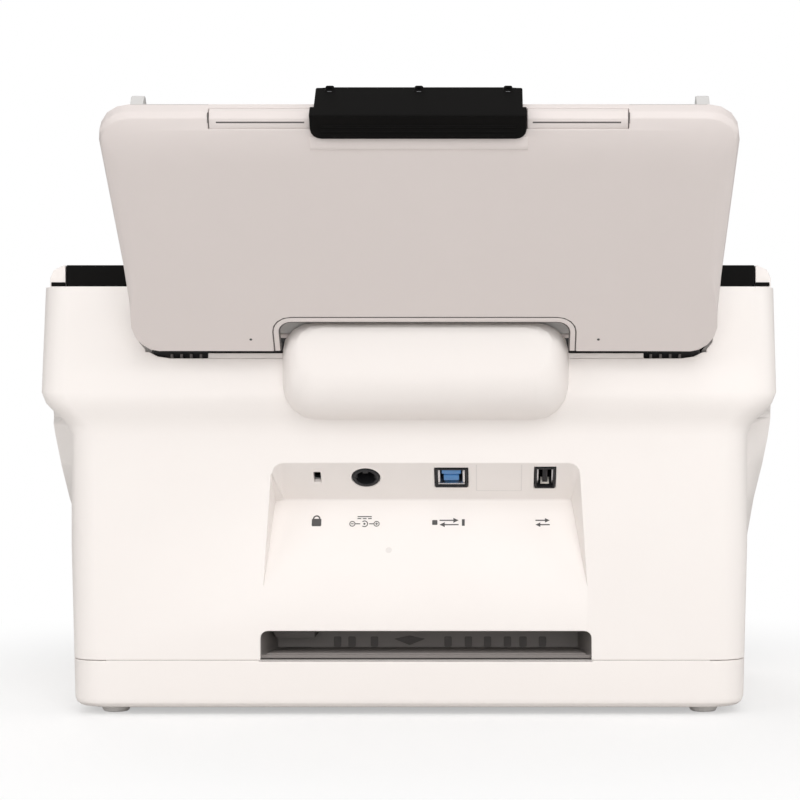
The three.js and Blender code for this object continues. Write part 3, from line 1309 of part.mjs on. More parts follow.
// Output tray: a slab on a barrel hinge, with a slide-out extension and end stop
const OUT_LOW = -3;
const BARREL_RADIUS = 3.5;
const OUT_PIN = 2;
const OUT_CORNER = 8;
const OUT_SKIN = 1.8;
const SLIDE_HALF = 80;
const SLIDE_FROM = 12;
const SLIDE_THICK = 2.2;
const STOP_HALF = 36;
const STOP_LENGTH = 17;
const STOP_THICK = 1.8;
const STOP_EAR = 1.8;
const STOP_PIN = 0.7;
const outTop = OUT_LOW + OUT_THICK;
const slideLow = OUT_LOW + OUT_SKIN + GAP;
const slideTop = slideLow + SLIDE_THICK;
const stopAxis = [-OUT_LENGTH + 2 * OUT_SKIN, slideTop + GAP + STOP_THICK / 2];
const output = new THREE.Group();
output.position.set(PATH_X, OUT_HINGE_Y, OUT_HINGE_Z);
scanner.add(output);

function outputTray() {
  const slab = alongZ(rounded(-OUT_HALF_WIDTH, OUT_HALF_WIDTH, -OUT_LENGTH, 0, OUT_CORNER, GAP),
    OUT_LOW, outTop);
  const barrel = alongX(circle(0, 0, BARREL_RADIUS), -OUT_HALF_WIDTH, OUT_HALF_WIDTH);
  const pin = alongX(circle(0, 0, OUT_PIN, 16), -OUT_HALF_WIDTH - WALL, OUT_HALF_WIDTH + WALL);
  const slot = centred(0, SLIDE_HALF + GAP, -FAR, -SLIDE_FROM + GAP, slideLow - GAP, slideTop + GAP);
  const mouthHalf = STOP_HALF + 2 * STOP_EAR + 3 * GAP;
  const mouth = centred(0, mouthHalf, -FAR, -OUT_LENGTH + STOP_LENGTH + 3 * OUT_SKIN, slideTop, FAR);
  return cut(join(slab, barrel, pin), slot, mouth);
}

function outputExtension() {
  const plate = alongZ(rounded(-SLIDE_HALF, SLIDE_HALF, -OUT_LENGTH + GAP, -SLIDE_FROM, OUT_CORNER / 2),
    slideLow, slideTop);
  const start = STOP_HALF + GAP;
  const [y, z] = stopAxis;
  const ears = [1, -1].map((side) => {
    const [x0, x1] = side > 0 ? [start, start + STOP_EAR] : [-start - STOP_EAR, -start];
    const ear = block(x0, x1, y - OUT_SKIN, y + OUT_SKIN, slideLow, z + STOP_THICK / 2);
    return cut(ear, alongX(circle(y, z, STOP_PIN + GAP / 2, 12), x0 - GAP, x1 + GAP));
  });
  return join(plate, ...ears);
}

function outputStop() {
  const [y, z] = stopAxis;
  const half = STOP_THICK / 2;
  const flap = alongX([
    ...arc(y, z, half, 90, 270), [y + STOP_LENGTH, z - half], [y + STOP_LENGTH, z + half],
  ], -STOP_HALF, STOP_HALF);
  const pin = alongX(circle(y, z, STOP_PIN, 12), -STOP_HALF - STOP_EAR, STOP_HALF + STOP_EAR);
  return join(flap, pin);
}

piece(output, 'output_tray', outputTray(), black);
piece(output, 'output_extension', outputExtension(), grey);
piece(output, 'output_stop', outputStop(), grey);

// The origin is the middle of the footprint, on the floor
const box = new THREE.Box3().setFromObject(scanner, true);
scanner.position.y = -(box.min.y + box.max.y) / 2;
scanner.position.x = -(box.min.x + box.max.x) / 2;

export default scanner;
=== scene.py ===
# Rear view of a desktop sheet-feed document scanner with its input tray open.
# Metres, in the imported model's frame: +Z up, the operator at -Y, the connectors at +Y.
import bpy, bmesh, math
from mathutils import Matrix, Vector


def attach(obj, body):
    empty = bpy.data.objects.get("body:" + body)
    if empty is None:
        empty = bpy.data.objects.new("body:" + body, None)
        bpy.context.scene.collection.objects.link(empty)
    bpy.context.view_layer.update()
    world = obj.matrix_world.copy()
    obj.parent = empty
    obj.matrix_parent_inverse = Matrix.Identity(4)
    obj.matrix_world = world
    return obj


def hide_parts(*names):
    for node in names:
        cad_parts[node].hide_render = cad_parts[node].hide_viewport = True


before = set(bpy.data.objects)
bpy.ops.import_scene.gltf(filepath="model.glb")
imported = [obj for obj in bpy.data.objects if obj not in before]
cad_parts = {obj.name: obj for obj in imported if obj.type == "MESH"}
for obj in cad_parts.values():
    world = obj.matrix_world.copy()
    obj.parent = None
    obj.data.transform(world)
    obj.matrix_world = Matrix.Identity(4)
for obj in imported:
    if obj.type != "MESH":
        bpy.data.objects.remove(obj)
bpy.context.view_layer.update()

# Camera: level, behind the scanner and a little to one side of its middle, as in the photograph.
# The shift frames the picture as the photograph does.
camera = bpy.data.objects.new("camera", bpy.data.cameras.new("camera"))
bpy.context.scene.collection.objects.link(camera)
bpy.context.scene.camera = camera
camera.location = (-0.0333, 0.8804, 0.1308)
camera.rotation_euler = (math.radians(90), 0, math.radians(180))
camera.data.lens = 86.94
camera.data.sensor_width = 36
camera.data.shift_x = -0.1109
camera.data.clip_start = 0.01

# Studio: a white world and soft panels on every side, with a wide one low behind the camera.
# The floor is white to the camera and keeps a faint shadow of the scanner.
scene = bpy.context.scene
scene.view_settings.view_transform = "Standard"
world = bpy.data.worlds.new("studio")
scene.world = world
world.use_nodes = True
sky = world.node_tree.nodes
sky_links = world.node_tree.links
soft_sky = sky["Background"]
soft_sky.inputs["Color"].default_value = (1, 0.985, 0.97, 1)
soft_sky.inputs["Strength"].default_value = 0.4
white_sky = sky.new("ShaderNodeBackground")
white_sky.inputs["Color"].default_value = (1, 1, 1, 1)
white_sky.inputs["Strength"].default_value = 1
sky_rays = sky.new("ShaderNodeLightPath")
sees_white = sky.new("ShaderNodeMath")
sees_white.operation = "MAXIMUM"
sees_white.use_clamp = True
sky_links.new(sky_rays.outputs["Is Camera Ray"], sees_white.inputs[0])
sky_links.new(sky_rays.outputs["Is Transmission Ray"], sees_white.inputs[1])
sky_mix = sky.new("ShaderNodeMixShader")
sky_links.new(sees_white.outputs[0], sky_mix.inputs[0])
sky_links.new(soft_sky.outputs[0], sky_mix.inputs[1])
sky_links.new(white_sky.outputs[0], sky_mix.inputs[2])
sky_links.new(sky_mix.outputs[0], sky["World Output"].inputs["Surface"])


def soft_panel(name, place, size, power):
    """A round lamp that faces the scanner's middle."""
    lamp = bpy.data.lights.new(name, "AREA")
    lamp.shape = "DISK"
    lamp.size = size
    lamp.energy = power
    panel = bpy.data.objects.new(name, lamp)
    scene.collection.objects.link(panel)
    panel.location = place
    aim = Vector((0, 0, 0.12)) - Vector(place)
    panel.rotation_euler = aim.to_track_quat("-Z", "Y").to_euler()


soft_panel("panel_over_connectors", (-0.35, 1.5, 1.45), 1.3, 11)
soft_panel("panel_low_rear", (-0.1, 2, 0.3), 1.6, 13.2)
soft_panel("panel_right_rear", (1.3, 1.1, 0.8), 1.1, 5)
soft_panel("panel_left_rear", (-1.6, 0.5, 0.7), 1.1, 5)
soft_panel("panel_over_operator", (0.5, -1.5, 1.3), 1.3, 9)
soft_panel("panel_overhead", (0, 0.1, 1.9), 1.4, 3)

floor_mesh = bmesh.new()
bmesh.ops.create_grid(floor_mesh, x_segments=1, y_segments=1, size=30)
floor_data = bpy.data.meshes.new("floor")
floor_mesh.to_mesh(floor_data)
floor_mesh.free()
floor = bpy.data.objects.new("floor", floor_data)
scene.collection.objects.link(floor)
floor_paint = bpy.data.materials.new("floor_paint")
floor_paint.use_nodes = True
paint = floor_paint.node_tree.nodes
paint_links = floor_paint.node_tree.links
matt = paint.new("ShaderNodeBsdfDiffuse")
floor_rays = paint.new("ShaderNodeLightPath")
floor_colour = paint.new("ShaderNodeMix")
floor_colour.data_type = "RGBA"
floor_colour.inputs["A"].default_value = (0.7, 0.69, 0.68, 1)
floor_colour.inputs["B"].default_value = (1, 1, 1, 1)
paint_links.new(floor_rays.outputs["Is Camera Ray"], floor_colour.inputs["Factor"])
paint_links.new(floor_colour.outputs["Result"], matt.inputs["Color"])
bright = paint.new("ShaderNodeEmission")
bright.inputs["Color"].default_value = (1, 1, 1, 1)
bright.inputs["Strength"].default_value = 1
floor_place = paint.new("ShaderNodeTexCoord")
floor_reach = paint.new("ShaderNodeVectorMath")
floor_reach.operation = "LENGTH"
paint_links.new(floor_place.outputs["Object"], floor_reach.inputs[0])
floor_fade = paint.new("ShaderNodeMapRange")
floor_fade.interpolation_type = "SMOOTHSTEP"
floor_fade.inputs["From Min"].default_value = 0.16
floor_fade.inputs["From Max"].default_value = 0.36
floor_fade.inputs["To Min"].default_value = 0.45
paint_links.new(floor_reach.outputs["Value"], floor_fade.inputs["Value"])
floor_seen = paint.new("ShaderNodeMath")
floor_seen.operation = "MULTIPLY"
paint_links.new(floor_fade.outputs["Result"], floor_seen.inputs[0])
paint_links.new(floor_rays.outputs["Is Camera Ray"], floor_seen.inputs[1])
floor_mix = paint.new("ShaderNodeMixShader")
paint_links.new(floor_seen.outputs[0], floor_mix.inputs[0])
paint_links.new(matt.outputs[0], floor_mix.inputs[1])
paint_links.new(bright.outputs[0], floor_mix.inputs[2])
paint_links.new(floor_mix.outputs[0], paint["Material Output"].inputs["Surface"])
floor_data.materials.append(floor_paint)

# Housing: base tray, side covers and cover caps, moulded in white satin plastic.
# The tool leaves a fine spark grain on every outer face and soft edges where the parts meet.


def grain_effect():
    """Height of a fine moulded grain, and a slow mask for handling and flow."""
    group = bpy.data.node_groups.new("moulded grain", "ShaderNodeTree")
    size = group.interface.new_socket("Grain Scale", in_out="INPUT", socket_type="NodeSocketFloat")
    size.default_value = 1800
    group.interface.new_socket("Height", in_out="OUTPUT", socket_type="NodeSocketFloat")
    group.interface.new_socket("Handling", in_out="OUTPUT", socket_type="NodeSocketFloat")
    given = group.nodes.new("NodeGroupInput")
    made = group.nodes.new("NodeGroupOutput")
    place = group.nodes.new("ShaderNodeTexCoord")
    grain = group.nodes.new("ShaderNodeTexNoise")
    grain.inputs["Detail"].default_value = 2
    slow = group.nodes.new("ShaderNodeTexNoise")
    slow.inputs["Scale"].default_value = 22
    slow.inputs["Detail"].default_value = 3
    group.links.new(place.outputs["Object"], grain.inputs["Vector"])
    group.links.new(place.outputs["Object"], slow.inputs["Vector"])
    group.links.new(given.outputs["Grain Scale"], grain.inputs["Scale"])
    group.links.new(grain.outputs["Fac"], made.inputs["Height"])
    group.links.new(slow.outputs["Fac"], made.inputs["Handling"])
    return group


moulded_grain = grain_effect()


GLOSS_DRIFT = 0.06


def moulded_finish(name, colour, worn, roughness, grain_scale=1800, grain_depth=0.00003,
                   metal=0, gloss_level=0.5):
    """A grained finish whose colour and gloss drift a little with handling."""
    finish = bpy.data.materials.new(name)
    finish.use_nodes = True
    nodes, links = finish.node_tree.nodes, finish.node_tree.links
    shader = nodes["Principled BSDF"]
    shader.inputs["Metallic"].default_value = metal
    shader.inputs["Specular IOR Level"].default_value = gloss_level
    grain = nodes.new("ShaderNodeGroup")
    grain.node_tree = moulded_grain
    grain.inputs["Grain Scale"].default_value = grain_scale
    tint = nodes.new("ShaderNodeMix")
    tint.data_type = "RGBA"
    tint.inputs["A"].default_value = (*colour, 1)
    tint.inputs["B"].default_value = (*worn, 1)
    links.new(grain.outputs["Handling"], tint.inputs["Factor"])
    links.new(tint.outputs["Result"], shader.inputs["Base Color"])
    gloss = nodes.new("ShaderNodeMapRange")
    gloss.inputs["To Min"].default_value = roughness - GLOSS_DRIFT
    gloss.inputs["To Max"].default_value = roughness + GLOSS_DRIFT
    links.new(grain.outputs["Handling"], gloss.inputs["Value"])
    links.new(gloss.outputs["Result"], shader.inputs["Roughness"])
    bump = nodes.new("ShaderNodeBump")
    bump.inputs["Strength"].default_value = 0.5
    bump.inputs["Distance"].default_value = grain_depth
    links.new(grain.outputs["Height"], bump.inputs["Height"])
    links.new(bump.outputs["Normal"], shader.inputs["Normal"])
    return finish


def finished(name, shape, finish, body, crease=38):
    """A piece made of a finished mesh, smooth but for its creases, riding on its body."""
    for face in shape.faces:
        face.smooth = True
    data = bpy.data.meshes.new(name)
    shape.to_mesh(data)
    shape.free()
    data.set_sharp_from_angle(angle=math.radians(crease))
    data.materials.append(finish)
    piece = bpy.data.objects.new(name, data)
    scene.collection.objects.link(piece)
    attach(piece, body)
    return piece


# Metres for the distance, radians for the flat angle and degrees for the crease.
WELD, FLAT_ANGLE, MOULD_CREASE = 0.000002, math.radians(0.2), 28


def soften(shape, edge, crease, segments=2, above=-1):
    """Rounds the edges that turn by more than crease degrees, above a height in metres."""
    sharp = [e for e in shape.edges
             if e.is_manifold and e.calc_face_angle() > math.radians(crease)
             and min(vert.co.z for vert in e.verts) > above]
    bmesh.ops.bevel(
        shape, geom=sharp, offset=edge, offset_type="OFFSET", affect="EDGES",
        segments=segments, profile=0.5, material=-1, clamp_overlap=False)


def join_flat_faces(shape, weld):
    """Welds near points and joins faces that lie in one plane."""
    bmesh.ops.remove_doubles(shape, verts=shape.verts, dist=weld)
    bmesh.ops.dissolve_limit(
        shape, angle_limit=FLAT_ANGLE, verts=shape.verts, edges=shape.edges)


def soft_edged(node, body, finish, edge=0.0003, segments=2, reshape=None, above=-1):
    """The node's own solid with its moulded edges rounded, in its finish."""
    shape = bmesh.new()
    shape.from_mesh(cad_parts[node].data)
    join_flat_faces(shape, WELD)
    if reshape:
        reshape(shape)
    soften(shape, edge, MOULD_CREASE, segments, above)
    bmesh.ops.triangulate(shape, faces=shape.faces, quad_method="BEAUTY", ngon_method="BEAUTY")
    piece = finished(node + "_moulding", shape, finish, body, crease=40)
    piece.modifiers.new("even shading", "WEIGHTED_NORMAL").keep_sharp = True
    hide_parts(node)


housing_white = moulded_finish(
    "housing_white", (0.92, 0.875, 0.845), (0.905, 0.855, 0.825), 0.45)
for node in ("base_tray", "side_cover_left", "side_cover_right"):
    soft_edged(node, "base", housing_white)
for node in ("cover_cap_left", "cover_cap_right"):
    soft_edged(node, "adf_cover", housing_white, 0.0004)

# Rubber feet: turned pads with a dished sole and a shoulder that seats in the base.
# Each takes the place of the plain tapered solid.


def add_turned(shape, profile, place, steps=32):
    """Adds a closed turned form: radius and height pairs in millimetres about place's Z."""
    rings = []
    for radius, height in profile:
        if radius == 0:
            rings.append([shape.verts.new(place @ Vector((0, 0, height)) * 0.001)])
            continue
        turn = [math.tau * i / steps for i in range(steps)]
        rings.append([shape.verts.new(place @ Vector(
            (radius * math.cos(a), radius * math.sin(a), height)) * 0.001) for a in turn])
    for lower, upper in zip(rings, rings[1:]):
        for i in range(steps):
            j = (i + 1) % steps
            corners = [lower[i % len(lower)], lower[j % len(lower)],
                       upper[j % len(upper)], upper[i % len(upper)]]
            shape.faces.new(list(dict.fromkeys(corners)))


def turned(name, profile, place, finish, body, steps=32):
    """One piece made by turning a profile about place's Z."""
    shape = bmesh.new()
    add_turned(shape, profile, place, steps)
    bmesh.ops.remove_doubles(shape, verts=shape.verts, dist=WELD)
    bmesh.ops.recalc_face_normals(shape, faces=shape.faces)
    return finished(name, shape, finish, body)


foot_rubber = moulded_finish(
    "foot_rubber", (0.82, 0.8, 0.78), (0.78, 0.76, 0.74), 0.85, 900, 0.00005)
foot_profile = [(0, 0.35), (3.2, 0.35), (3.6, 0), (4.9, 0), (5.35, 0.3), (5.6, 0.8), (6, 1.6),
                (6.25, 2.4), (6.2, 2.8), (5.9, 2.94), (0, 2.94)]
FOOT_X, FRONT_FOOT_Y, REAR_FOOT_Y = 123.7, -62.606, 65.394
for end, along in (("front", FRONT_FOOT_Y), ("rear", REAR_FOOT_Y)):
    for side, across in (("left", -FOOT_X), ("right", FOOT_X)):
        foot = turned(f"pad_{end}_{side}", foot_profile, Matrix.Translation((across, along, 0)),
                      foot_rubber, "base")
        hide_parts(f"foot_{end}_{side}")

# Rear cover and its connector recess: lock slot, power jack and two data sockets, which sit
# on the slanting port face. A faint line of painted shade stands for the groove round the blank
# plate between the sockets.
# Shells, inserts and contacts are separate pieces, as they are on the board.


def turned_frame(origin, across, up):
    """Frame with X across and Y up a face, and Z out of it, in millimetres."""
    x, y = Vector(across), Vector(up)
    frame_axes = Matrix((x, y, x.cross(y))).transposed().to_4x4()
    return Matrix.Translation(origin) @ frame_axes


def add_prism(shape, outline, low, high, place):
    """Adds a prism over a flat outline, in millimetres, in the frame of place."""
    ends = [[shape.verts.new(place @ Vector((u, v, w)) * 0.001) for u, v in outline]
            for w in (low, high)]
    count = len(outline)
    faces = [shape.faces.new(ends[0][::-1]), shape.faces.new(ends[1])]
    for i in range(count):
        j = (i + 1) % count
        faces.append(shape.faces.new((ends[0][i], ends[0][j], ends[1][j], ends[1][i])))
    return faces


def add_ring_prism(shape, outer, inner, low, high, place):
    """Adds a frame-shaped prism between two outlines of equal count."""
    loops = [[shape.verts.new(place @ Vector((u, v, w)) * 0.001) for u, v in outline]
             for outline, w in ((outer, low), (outer, high), (inner, high), (inner, low))]
    count = len(outer)
    for first, second in zip(loops, loops[1:] + loops[:1]):
        for i in range(count):
            j = (i + 1) % count
            shape.faces.new((first[i], first[j], second[j], second[i]))


CORNER_STEPS, PRISM_CREASE = 4, 30


def box_outline(u, v, width, height, corner=0):
    """Rectangle about (u, v), with round corners where a corner radius is given."""
    if corner == 0:
        return [(u - width / 2, v - height / 2), (u + width / 2, v - height / 2),
                (u + width / 2, v + height / 2), (u - width / 2, v + height / 2)]
    points = []
    for quarter, (su, sv) in enumerate(((1, -1), (1, 1), (-1, 1), (-1, -1))):
        cu = u + su * (width / 2 - corner)
        cv = v + sv * (height / 2 - corner)
        for i in range(CORNER_STEPS + 1):
            angle = math.radians(-90 + 90 * quarter + 90 * i / CORNER_STEPS)
            points.append((cu + corner * math.cos(angle), cv + corner * math.sin(angle)))
    return points


def prisms(name, solids, place, finish, body, edge=0.0):
    """One piece made of prisms: each is an outline with its low and high faces."""
    shape = bmesh.new()
    for outline, low, high in solids:
        add_prism(shape, outline, low, high, place)
    bmesh.ops.recalc_face_normals(shape, faces=shape.faces)
    if edge:
        soften(shape, edge * 0.001, PRISM_CREASE)
    return finished(name, shape, finish, body)


def dress(node, finish):
    """Puts a finish on a node that stays as it is."""
    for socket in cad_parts[node].material_slots:
        socket.material = finish


# Places on the port face, in its own millimetres: U across, V up, depths below the face.
JACK_U, SQUARE_U, UPRIGHT_U, PORT_V = -18, 17.7, 56.8, 2.4
SOCKET_BACK, SOCKET_FLOOR, MOUTH_LIP, SHELL_WALL = -13.3, -9, 0.38, 0.8
PLATE_V, PLATE_HIGH, PLATE_LINE = 2.2, 17.3, 0.4
GROOVE_FLOOR = ((27.9, 47.3), (-6.7, 11.5), (-0.55, -0.45))
port_face = turned_frame((0, 71.394, 96.8), (-1, 0, 0), (0, 0.7516, 0.6597))
frame_steel = moulded_finish(
    "frame_steel", (0.62, 0.63, 0.65), (0.56, 0.57, 0.6), 0.34, 320, 0.00001, 1)


def close_plate_groove(shape):
    """Closes the groove round the blank plate, whose shade is painted as a line of its own."""
    from_port = port_face.inverted()
    for vert in shape.verts:
        spot = from_port @ (vert.co * 1000)
        if all(low < value < high for value, (low, high) in zip(spot, GROOVE_FLOOR)):
            vert.co = port_face @ Vector((spot.x, spot.y, 0)) * 0.001
    join_flat_faces(shape, 10 * WELD)


soft_edged("rear_cover", "base", housing_white, reshape=close_plate_groove)
# Painted shade: a darker white line on the plate's left, right and bottom sides, where the closed
# groove's shade would fall.
painted_hollow_shade = moulded_finish("painted_hollow_shade", (0.81, 0.77, 0.745), (0.79, 0.75, 0.725), 0.5)
plate_sides = [
    box_outline(28.2, PLATE_V, PLATE_LINE, PLATE_HIGH),
    box_outline(47, PLATE_V, PLATE_LINE, PLATE_HIGH),
    box_outline(37.6, -6.3, 18.4, PLATE_LINE)]
prisms("blank_plate_groove_shade", [(outline, -0.02, 0.03) for outline in plate_sides],
       port_face, painted_hollow_shade, "base")
port_metal = moulded_finish(
    "port_metal", (0.72, 0.72, 0.73), (0.66, 0.66, 0.68), 0.28, 500, 0.000005, 1)
port_black = moulded_finish(
    "port_black", (0.014, 0.014, 0.016), (0.02, 0.02, 0.022), 0.45, 1500, 0.00001, 0, 0.3)
port_blue = moulded_finish("port_blue", (0.09, 0.27, 0.58), (0.08, 0.24, 0.52), 0.4)
board_green = moulded_finish(
    "board_green", (0.02, 0.12, 0.05), (0.03, 0.15, 0.06), 0.4, 240, 0.00002)
soft_edged("lock_plate", "base", frame_steel, 0.0001)
dress("connector_board", board_green)

jack_place = port_face @ Matrix.Translation((JACK_U, PORT_V, 0))
jack = turned("jack_barrel", [
    (0, -13.2), (5.6, -13.2), (5.7, -12.6), (5.7, 0.1), (5.45, MOUTH_LIP), (4.5, MOUTH_LIP),
    (4.15, 0.1), (4.05, SOCKET_FLOOR), (0, SOCKET_FLOOR)],
    jack_place, port_black, "base", 40)
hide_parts("power_jack")
turned("jack_pin", [
    (0, SOCKET_FLOOR), (1.05, SOCKET_FLOOR), (1.05, -4.7), (0.85, -4), (0.4, -3.65), (0, -3.6)],
    jack_place, port_metal, "base", 20)
prisms("jack_keys", [
    (box_outline(0, 3.75, 2.4, 1.3), -8.8, 0.3), (box_outline(-4, -0.2, 0.9, 1.9), -8.8, -0.5),
    (box_outline(4, -0.2, 0.9, 1.9), -8.8, -0.5)],
    jack_place, port_black, "base", 0.12)
turned("jack_countersink", [
    (6.1, -0.3), (6.1, 0.02), (6.35, 0.16), (6.75, 0.16), (6.9, 0.02), (6.9, -0.3), (6.1, -0.3)],
    jack_place, housing_white, "base", 40)


def socket_shell(name, across, width, height, node):
    """A folded black shell around a socket's mouth, with a dark floor of its own."""
    room_wide, room_high = width - 2 * SHELL_WALL, height - 2 * SHELL_WALL
    outer = box_outline(across, PORT_V, width, height, 0.5)
    inner = box_outline(across, PORT_V, room_wide, room_high, 0.3)
    shape = bmesh.new()
    add_ring_prism(shape, outer, inner, SOCKET_BACK, MOUTH_LIP, port_face)
    bmesh.ops.recalc_face_normals(shape, faces=shape.faces)
    piece = finished(name, shape, port_black, "base")
    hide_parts(node)
    floor_outline = box_outline(across, PORT_V, room_wide - 0.1, room_high - 0.1)
    prisms(name + "_floor", [(floor_outline, -12.6, SOCKET_FLOOR)],
           port_face, port_black, "base")


socket_shell("square_socket", SQUARE_U, 13.5, 12.2, "data_port_square")
prisms("square_socket_lining", [
    (box_outline(SQUARE_U, -2.35, 11.5, 1.1), SOCKET_FLOOR, -0.3),
    (box_outline(12.5, 2.6, 1, 8.6), SOCKET_FLOOR, -0.3),
    (box_outline(22.9, 2.6, 1, 8.6), SOCKET_FLOOR, -0.3)],
    port_face, port_metal, "base", 0.15)
prisms("square_socket_insert", [
    (box_outline(SQUARE_U, 5.6, 8, 2.6), SOCKET_FLOOR, -0.5),
    (box_outline(SQUARE_U, 1.6, 6.4, 3.2), SOCKET_FLOOR, -0.5),
    (box_outline(SQUARE_U, 3.7, 5, 1.4), SOCKET_FLOOR, -1.2)],
    port_face, port_blue, "base", 0.15)
prisms("square_socket_contacts", [
    (box_outline(15.9 + 1.2 * i, 3.7, 0.6, 0.5), -1.25, -1.05) for i in range(4)],
    port_face, port_metal, "base")
socket_shell("upright_socket", UPRIGHT_U, 8.5, 13.4, "data_port_upright")
prisms("upright_socket_sides", [
    (box_outline(53.7, 2.6, 0.7, 10.4), SOCKET_FLOOR, -1),
    (box_outline(59.9, 2.6, 0.7, 10.4), SOCKET_FLOOR, -1)],
    port_face, port_metal, "base", 0.1)
prisms("upright_socket_tongue", [(box_outline(UPRIGHT_U, 2.6, 2.1, 10.2), SOCKET_FLOOR, -1.2)],
       port_face, port_black, "base", 0.2)
tongue_pale = moulded_finish("tongue_pale", (0.78, 0.74, 0.68), (0.7, 0.67, 0.62), 0.4)
prisms("upright_socket_latch", [(box_outline(UPRIGHT_U, -2.3, 3.6, 0.9), -4, -0.8)],
       port_face, tongue_pale, "base", 0.15)

# Markings under the ports: thin raised signs on the recess's lower slope.
# They are a padlock, a direct-current and polarity sign and plain arrows, and a soft disc of
# painted shade for a shallow dimple.
slope_face = turned_frame((0, 62.394, 87.9), (-1, 0, 0), (0, -0.4626, 0.8866))
mark_ink = moulded_finish("mark_ink", (0.06, 0.057, 0.055), (0.08, 0.077, 0.075), 0.5)
MARK_LOW, MARK_HIGH = -0.02, 0.08
UPPER_V, MIDDLE_V, LOWER_V = -8.8, -9.8, -10.8
SIGN_V, SIGN_LINE = -10.4, 0.35


def marks(name, outlines, place=slope_face, finish=mark_ink, body="base",
          low=MARK_LOW, high=MARK_HIGH):
    """One piece of flat signs, on the recess's slope unless another face is given."""
    return prisms(name, [(outline, low, high) for outline in outlines], place, finish, body)


def bow(u, v, radius, wide, start, end, steps=10):
    """Outline of a bent strip from one angle to another."""
    turns = [math.radians(start + (end - start) * i / steps) for i in range(steps + 1)]
    outer = [(u + (radius + wide / 2) * math.cos(a), v + (radius + wide / 2) * math.sin(a))
             for a in turns]
    inner = [(u + (radius - wide / 2) * math.cos(a), v + (radius - wide / 2) * math.sin(a))
             for a in reversed(turns)]
    return outer + inner


def arrow(u, v, length, head, wide, way=1):
    """Arrow lying across the slope, its tip towards way."""
    tip, neck, tail = u + way * length / 2, u + way * (length / 2 - head), u - way * length / 2
    return [(tail, v - wide / 2), (neck, v - wide / 2), (neck, v - head / 2), (tip, v),
            (neck, v + head / 2), (neck, v + wide / 2), (tail, v + wide / 2)]


marks("mark_padlock", [
    box_outline(-39.2, MIDDLE_V, 4, 3.4, 0.4), bow(-39.2, -8.1, 1.3, 0.6, 0, 180)])
marks("mark_power", [
    box_outline(-19, -7.1, 6, 0.4), box_outline(-21.2, -8, 1.6, 0.4),
    box_outline(-19, -8, 1.6, 0.4), box_outline(-16.8, -8, 1.6, 0.4),
    bow(-19, SIGN_V, 1.3, 0.4, -130, 130, 14), box_outline(-19, SIGN_V, 0.9, 0.9, 0.44),
    box_outline(-21.9, SIGN_V, 2.2, 0.4), box_outline(-16.1, SIGN_V, 1.8, 0.4),
    bow(-24.1, SIGN_V, 1.1, SIGN_LINE, 0, 350, 18), box_outline(-24.1, SIGN_V, 1.1, SIGN_LINE),
    bow(-13.9, SIGN_V, 1.1, SIGN_LINE, 0, 350, 18), box_outline(-13.9, SIGN_V, 1.1, SIGN_LINE),
    box_outline(-13.9, SIGN_V, SIGN_LINE, 1.1)])
marks("mark_square_port", [
    arrow(16.6, UPPER_V, 8, 2.2, 0.5), arrow(16.6, LOWER_V, 8, 2.2, 0.5, -1),
    box_outline(10.6, MIDDLE_V, 2.2, 2.2, 0.3), box_outline(22.6, MIDDLE_V, 1.2, 3)])
marks("mark_upright_port", [
    arrow(56, UPPER_V, 6, 2, 0.5), arrow(56, LOWER_V, 6, 2, 0.5, -1)])
# A flat darker disc: painted shade for a shallow dimple in the slope.
marks("slope_dimple_shade", [box_outline(-8.5, -22.4, 2.6, 2.6, 1.25)], high=0.02,
      finish=painted_hollow_shade)

# Hand-grip pocket: the dark tray behind the low slot, with its stepped flange, and vents drawn as
# dark plates of painted shade.
# Fingers reach in here to lift the scanner. The seam above the base runs past it, drawn as a grey
# strip of painted shade.
dark_grey = moulded_finish(
    "dark_grey", (0.1, 0.09, 0.086), (0.12, 0.108, 0.103), 0.6, 1200, 0.00004)
grip_grey = moulded_finish(
    "grip_grey", (0.23, 0.209, 0.198), (0.26, 0.237, 0.226), 0.65, 1200, 0.00004)
soft_edged("grip_tray", "base", grip_grey, 0.0002)
PATH_X = -7.3  # the middle of the pocket, the paper path and the trays
grip_back = turned_frame((PATH_X, 53.1, 0), (-1, 0, 0), (0, 0, 1))
vent_places = [-38.7, -32.5, -22.9, 8.6, 17.3, 25.5, 34, 40.7, 49]
# The vents are flat dark plates on the back wall: painted shade for the vent holes.
prisms("grip_vent_shade", [
    (box_outline(place, 27.4, 3.2, 4.4, 0.6), -0.02, 0.2) for place in vent_places],
    grip_back, dark_grey, "base")
prisms("grip_rivet", [([(-14.6, 28.6), (-7.9, 25.9), (-1.2, 28.6), (-7.9, 30)], -0.02, 0.6)],
       grip_back, dark_grey, "base", 0.2)
prisms("grip_flange", [
    ([(-65.4, 34), (-47.2, 34), (-47.2, 30.6), (-63.4, 30.6)], 0, 14)],
    grip_back, dark_grey, "base", 0.3)
grip_floor = moulded_finish("grip_floor", (0.34, 0.31, 0.295), (0.3, 0.272, 0.26), 0.6)
prisms("grip_floor_plate", [
    ([(-66.4, 0), (66.4, 0), (62.4, -20.5), (-62.4, -20.5)], 24.92, 25.35)],
    turned_frame((PATH_X, 76.9, 0), (1, 0, 0), (0, 1, 0)), grip_floor, "base", 0.1)

seam_shade = moulded_finish("seam_shade", (0.6, 0.57, 0.55), (0.56, 0.53, 0.51), 0.6)
from_behind = turned_frame((0, 0, 0), (-1, 0, 0), (0, 0, 1))
# A grey strip sunk in the gap above the base: painted shade for the seam line.
prisms("base_seam_shade", [(box_outline(0, 22.95, 250, 0.4), 78.6, 80.15)], from_behind, seam_shade,
       "base")

# Lower paper guide and its sensor: the black bed under the sheets, with fine paper ribs.
# The sensor looks up through a glass strip set in the guide.


